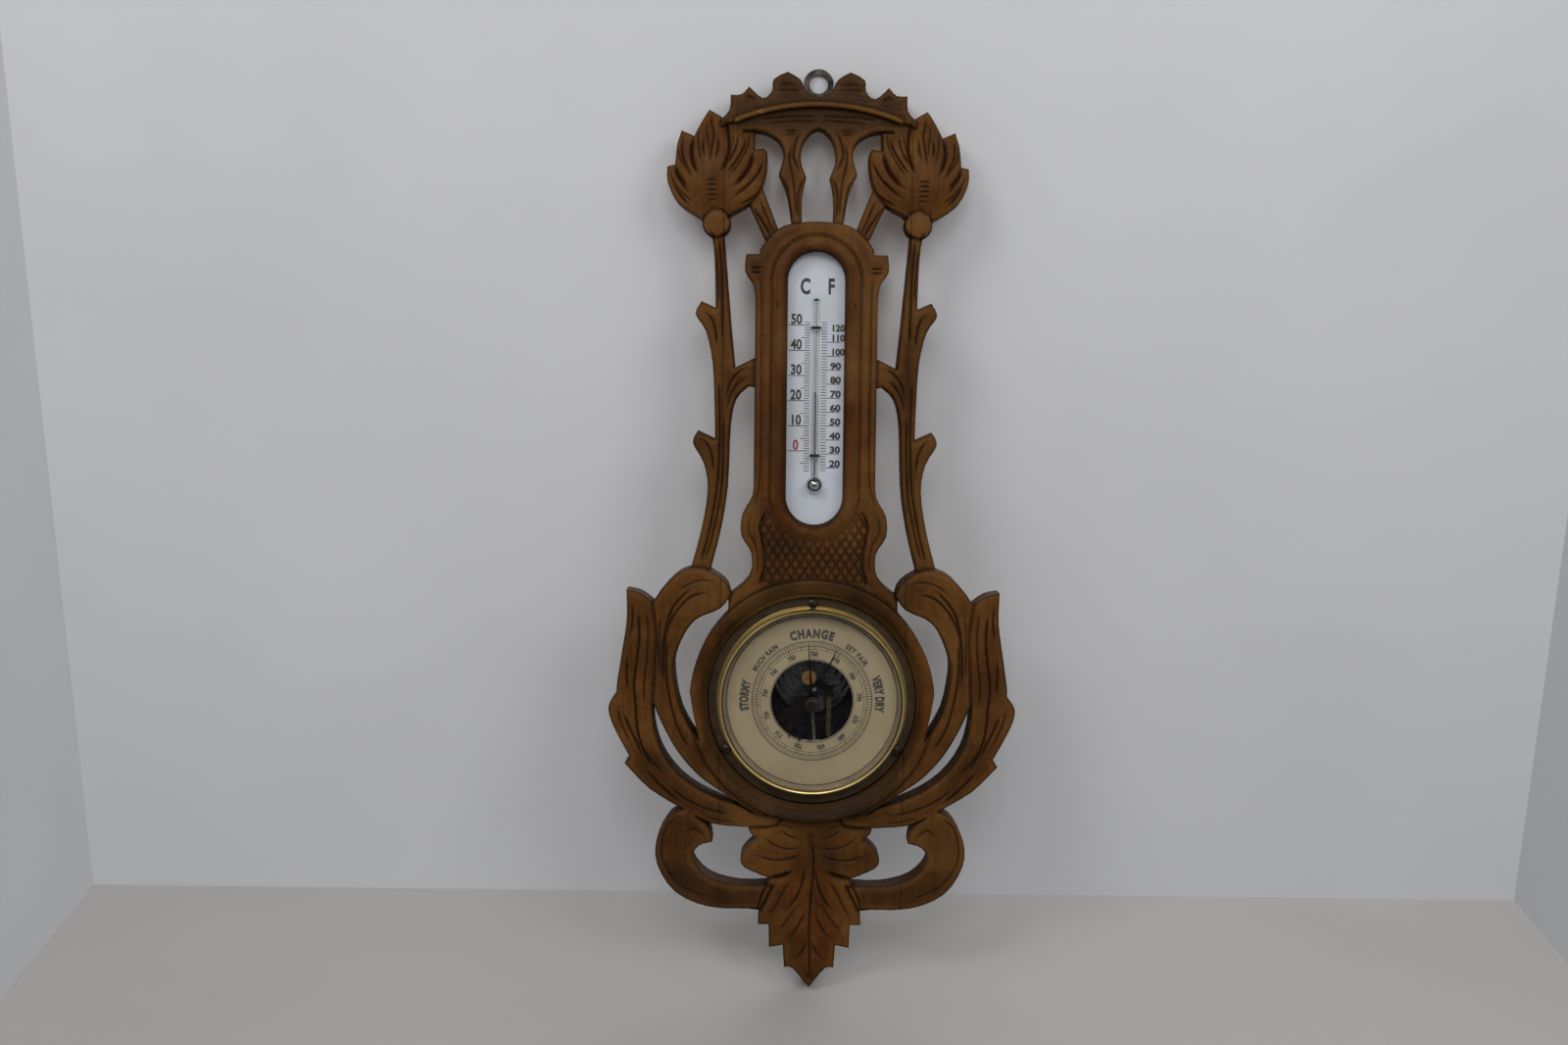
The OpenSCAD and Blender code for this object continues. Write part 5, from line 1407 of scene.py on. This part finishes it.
# (words, degrees from the top, lettering, stretch, tracking)
WORDS = (("STORMY", -86, BOLD, 0.60, 1.06), ("MUCH RAIN", -47.5, SMALL, 0.72, 1.22),
         ("CHANGE", -0.5, BOLD, 0.74, 1.26), ("SET FAIR", 43.5, SMALL, 0.78, 1.26),
         ("VERY DRY", 83.5, BOLD, 0.58, 1.10))


def dial_angle(value):
    return DEGREES_AT_760 + (value - 760) * DEGREES_PER_MM


bm = bmesh.new()
for radius, width in RINGS_AND_SHADOW_LINE:
    ring_line(bm, radius, width, dial_front)
for value in range(FIRST_TICK, FIRST_TICK + TICKS):
    inner = TICK_TEN if value % 10 == 0 else TICK_FIVE if value % 5 == 0 else TICK_ONE
    ends = [round_dial(radius, dial_angle(value))(0, 0) for radius in (inner, TICK_OUT)]
    bar(bm, *ends, TICK_WIDTH, dial_front)
for value in range(670, 800, 10):
    print_word(bm, str(value), NUMBER_SIZE, round_dial(NUMBER_R, dial_angle(value)), dial_front,
               NUMBER_STRETCH, NUMBER_TRACKING, NUMBER_WEIGHT)
for words, degrees, (size, radius, weight), stretch, tracking in WORDS:
    print_word(bm, words, size, round_dial(radius, degrees), dial_front, stretch, tracking, weight)
new_piece(bm, "dial_print", finishes["ink"], "case")

# %% [markdown]
# ## The thermometer's plate
# Two scales run beside the tube: Celsius on the left in tens with a red zero, Fahrenheit on
# the right. Both follow the same column, so 50 degrees Celsius stands level with 122 Fahrenheit.

# %% Print the thermometer plate
CELSIUS_0, CELSIUS_50 = -197.3, -129.3
C_EDGE, F_EDGE = -2.9, 2.9
C_TEN, C_FIVE, F_TEN, ONE = 11.9, 5.0, 10.4, 3.2
FINE_LINE, FULL_LINE = 0.40, 0.46
C_SIZE, F_SIZE, LETTER_SIZE = 7.4, 4.9, 11.6
LIGHT, FULL = 0.036, 0.048
# Middles of the numbers, and how far their feet lie from the line they name
C_NUMBER_X, C_ZERO_X, C_LIFT = -10.6, -10.4, 0.75
F_NUMBER_X, F_HUNDRED_X, F_LIFT, F_UNDER = 10.9, 11.9, 0.55, -1.7
LETTERS_Y = -112.4


def celsius_y(value):
    return CELSIUS_0 + (CELSIUS_50 - CELSIUS_0) * value / 50


def fahrenheit_y(value):
    return celsius_y((value - 32) / 1.8)


bm, red = bmesh.new(), bmesh.new()
for value in range(-8, 52):
    y, ten = celsius_y(value), value % 10 == 0
    length = C_TEN if ten else C_FIVE if value % 5 == 0 else ONE
    bar(bm, (C_EDGE - length, y), (C_EDGE, y), FULL_LINE if ten else FINE_LINE, plate_front)
for value in range(18, 126, 2):
    y = fahrenheit_y(value)
    # 120 stands below its line, where it would meet the number, so that line is short
    length = ONE if value % 10 or value == 120 else F_TEN
    bar(bm, (F_EDGE, y), (F_EDGE + length, y), FINE_LINE, plate_front)
for value in range(0, 60, 10):
    at = straight(C_NUMBER_X if value else C_ZERO_X, celsius_y(value) + C_LIFT)
    print_word(bm if value else red, str(value), C_SIZE, at, plate_front, 0.80, 1.02, LIGHT)
for value in range(20, 130, 10):
    wide = value > 99
    at = straight(F_HUNDRED_X if wide else F_NUMBER_X,
                  fahrenheit_y(value) + (F_LIFT if value < 120 else F_UNDER))
    print_word(bm, str(value), F_SIZE, at, plate_front, 1.0 if wide else 1.16, 1.0, FULL)
for letter, x in (("C", -6.0), ("F", 8.0)):
    print_word(bm, letter, LETTER_SIZE, straight(x, LETTERS_Y), plate_front, 0.66, 1.0, LIGHT)
new_piece(bm, "scale_print", finishes["ink"], "case")
new_piece(red, "zero_print", finishes["red_ink"], "case")

# %% [markdown]
# ## The wire that ties the tube
# Three strands of black wire go over the tube at two places and back into the plate. A small
# circle is extruded up from the plate, spun half a turn over the tube and extruded down again.

# %% Tie loops
TUBE_H = plate_front + 2.3
STRAND_R, STRAND_SIDES, LOOP_R, LOOP_STEPS = 0.26, 10, 2.4, 14
STRAND_GAPS = (-0.53, 0.0, 0.53)
TIE_YS = (-130.8, -199.75)


def drawn_out(bm, edges, shift):
    """Extrudes a ring of edges and moves its new end."""
    geom = bmesh.ops.extrude_edge_only(bm, edges=edges)["geom"]
    verts = [g for g in geom if isinstance(g, bmesh.types.BMVert)]
    bmesh.ops.translate(bm, verts=verts, vec=shift)
    return verts + [g for g in geom if isinstance(g, bmesh.types.BMEdge)
                    and all(v in verts for v in g.verts)]


def loop_of_wire(bm, y):
    start = Matrix.Translation(face(LOOP_R, y, plate_front)) @ Matrix.Rotation(math.pi / 2, 4, "X")
    ring = bmesh.ops.create_circle(bm, segments=STRAND_SIDES, radius=STRAND_R * MM,
                                   matrix=start)["verts"]
    rise = face(0, 0, TUBE_H - plate_front)
    end = drawn_out(bm, list({e for v in ring for e in v.link_edges}), rise)
    bent = bmesh.ops.spin(bm, geom=end, cent=face(0, y, TUBE_H), axis=(0, 0, 1),
                          angle=-math.pi, steps=LOOP_STEPS)["geom_last"]
    drawn_out(bm, [e for e in bent if isinstance(e, bmesh.types.BMEdge)], -rise)


bm = bmesh.new()
for tie_y in TIE_YS:
    for gap in STRAND_GAPS:
        loop_of_wire(bm, tie_y + gap)
bmesh.ops.holes_fill(bm, edges=[e for e in bm.edges if e.is_boundary])
new_piece(bm, "tie_loops", finishes["tie_wire"], "case", ["tube_ties"], smooth=0.9)
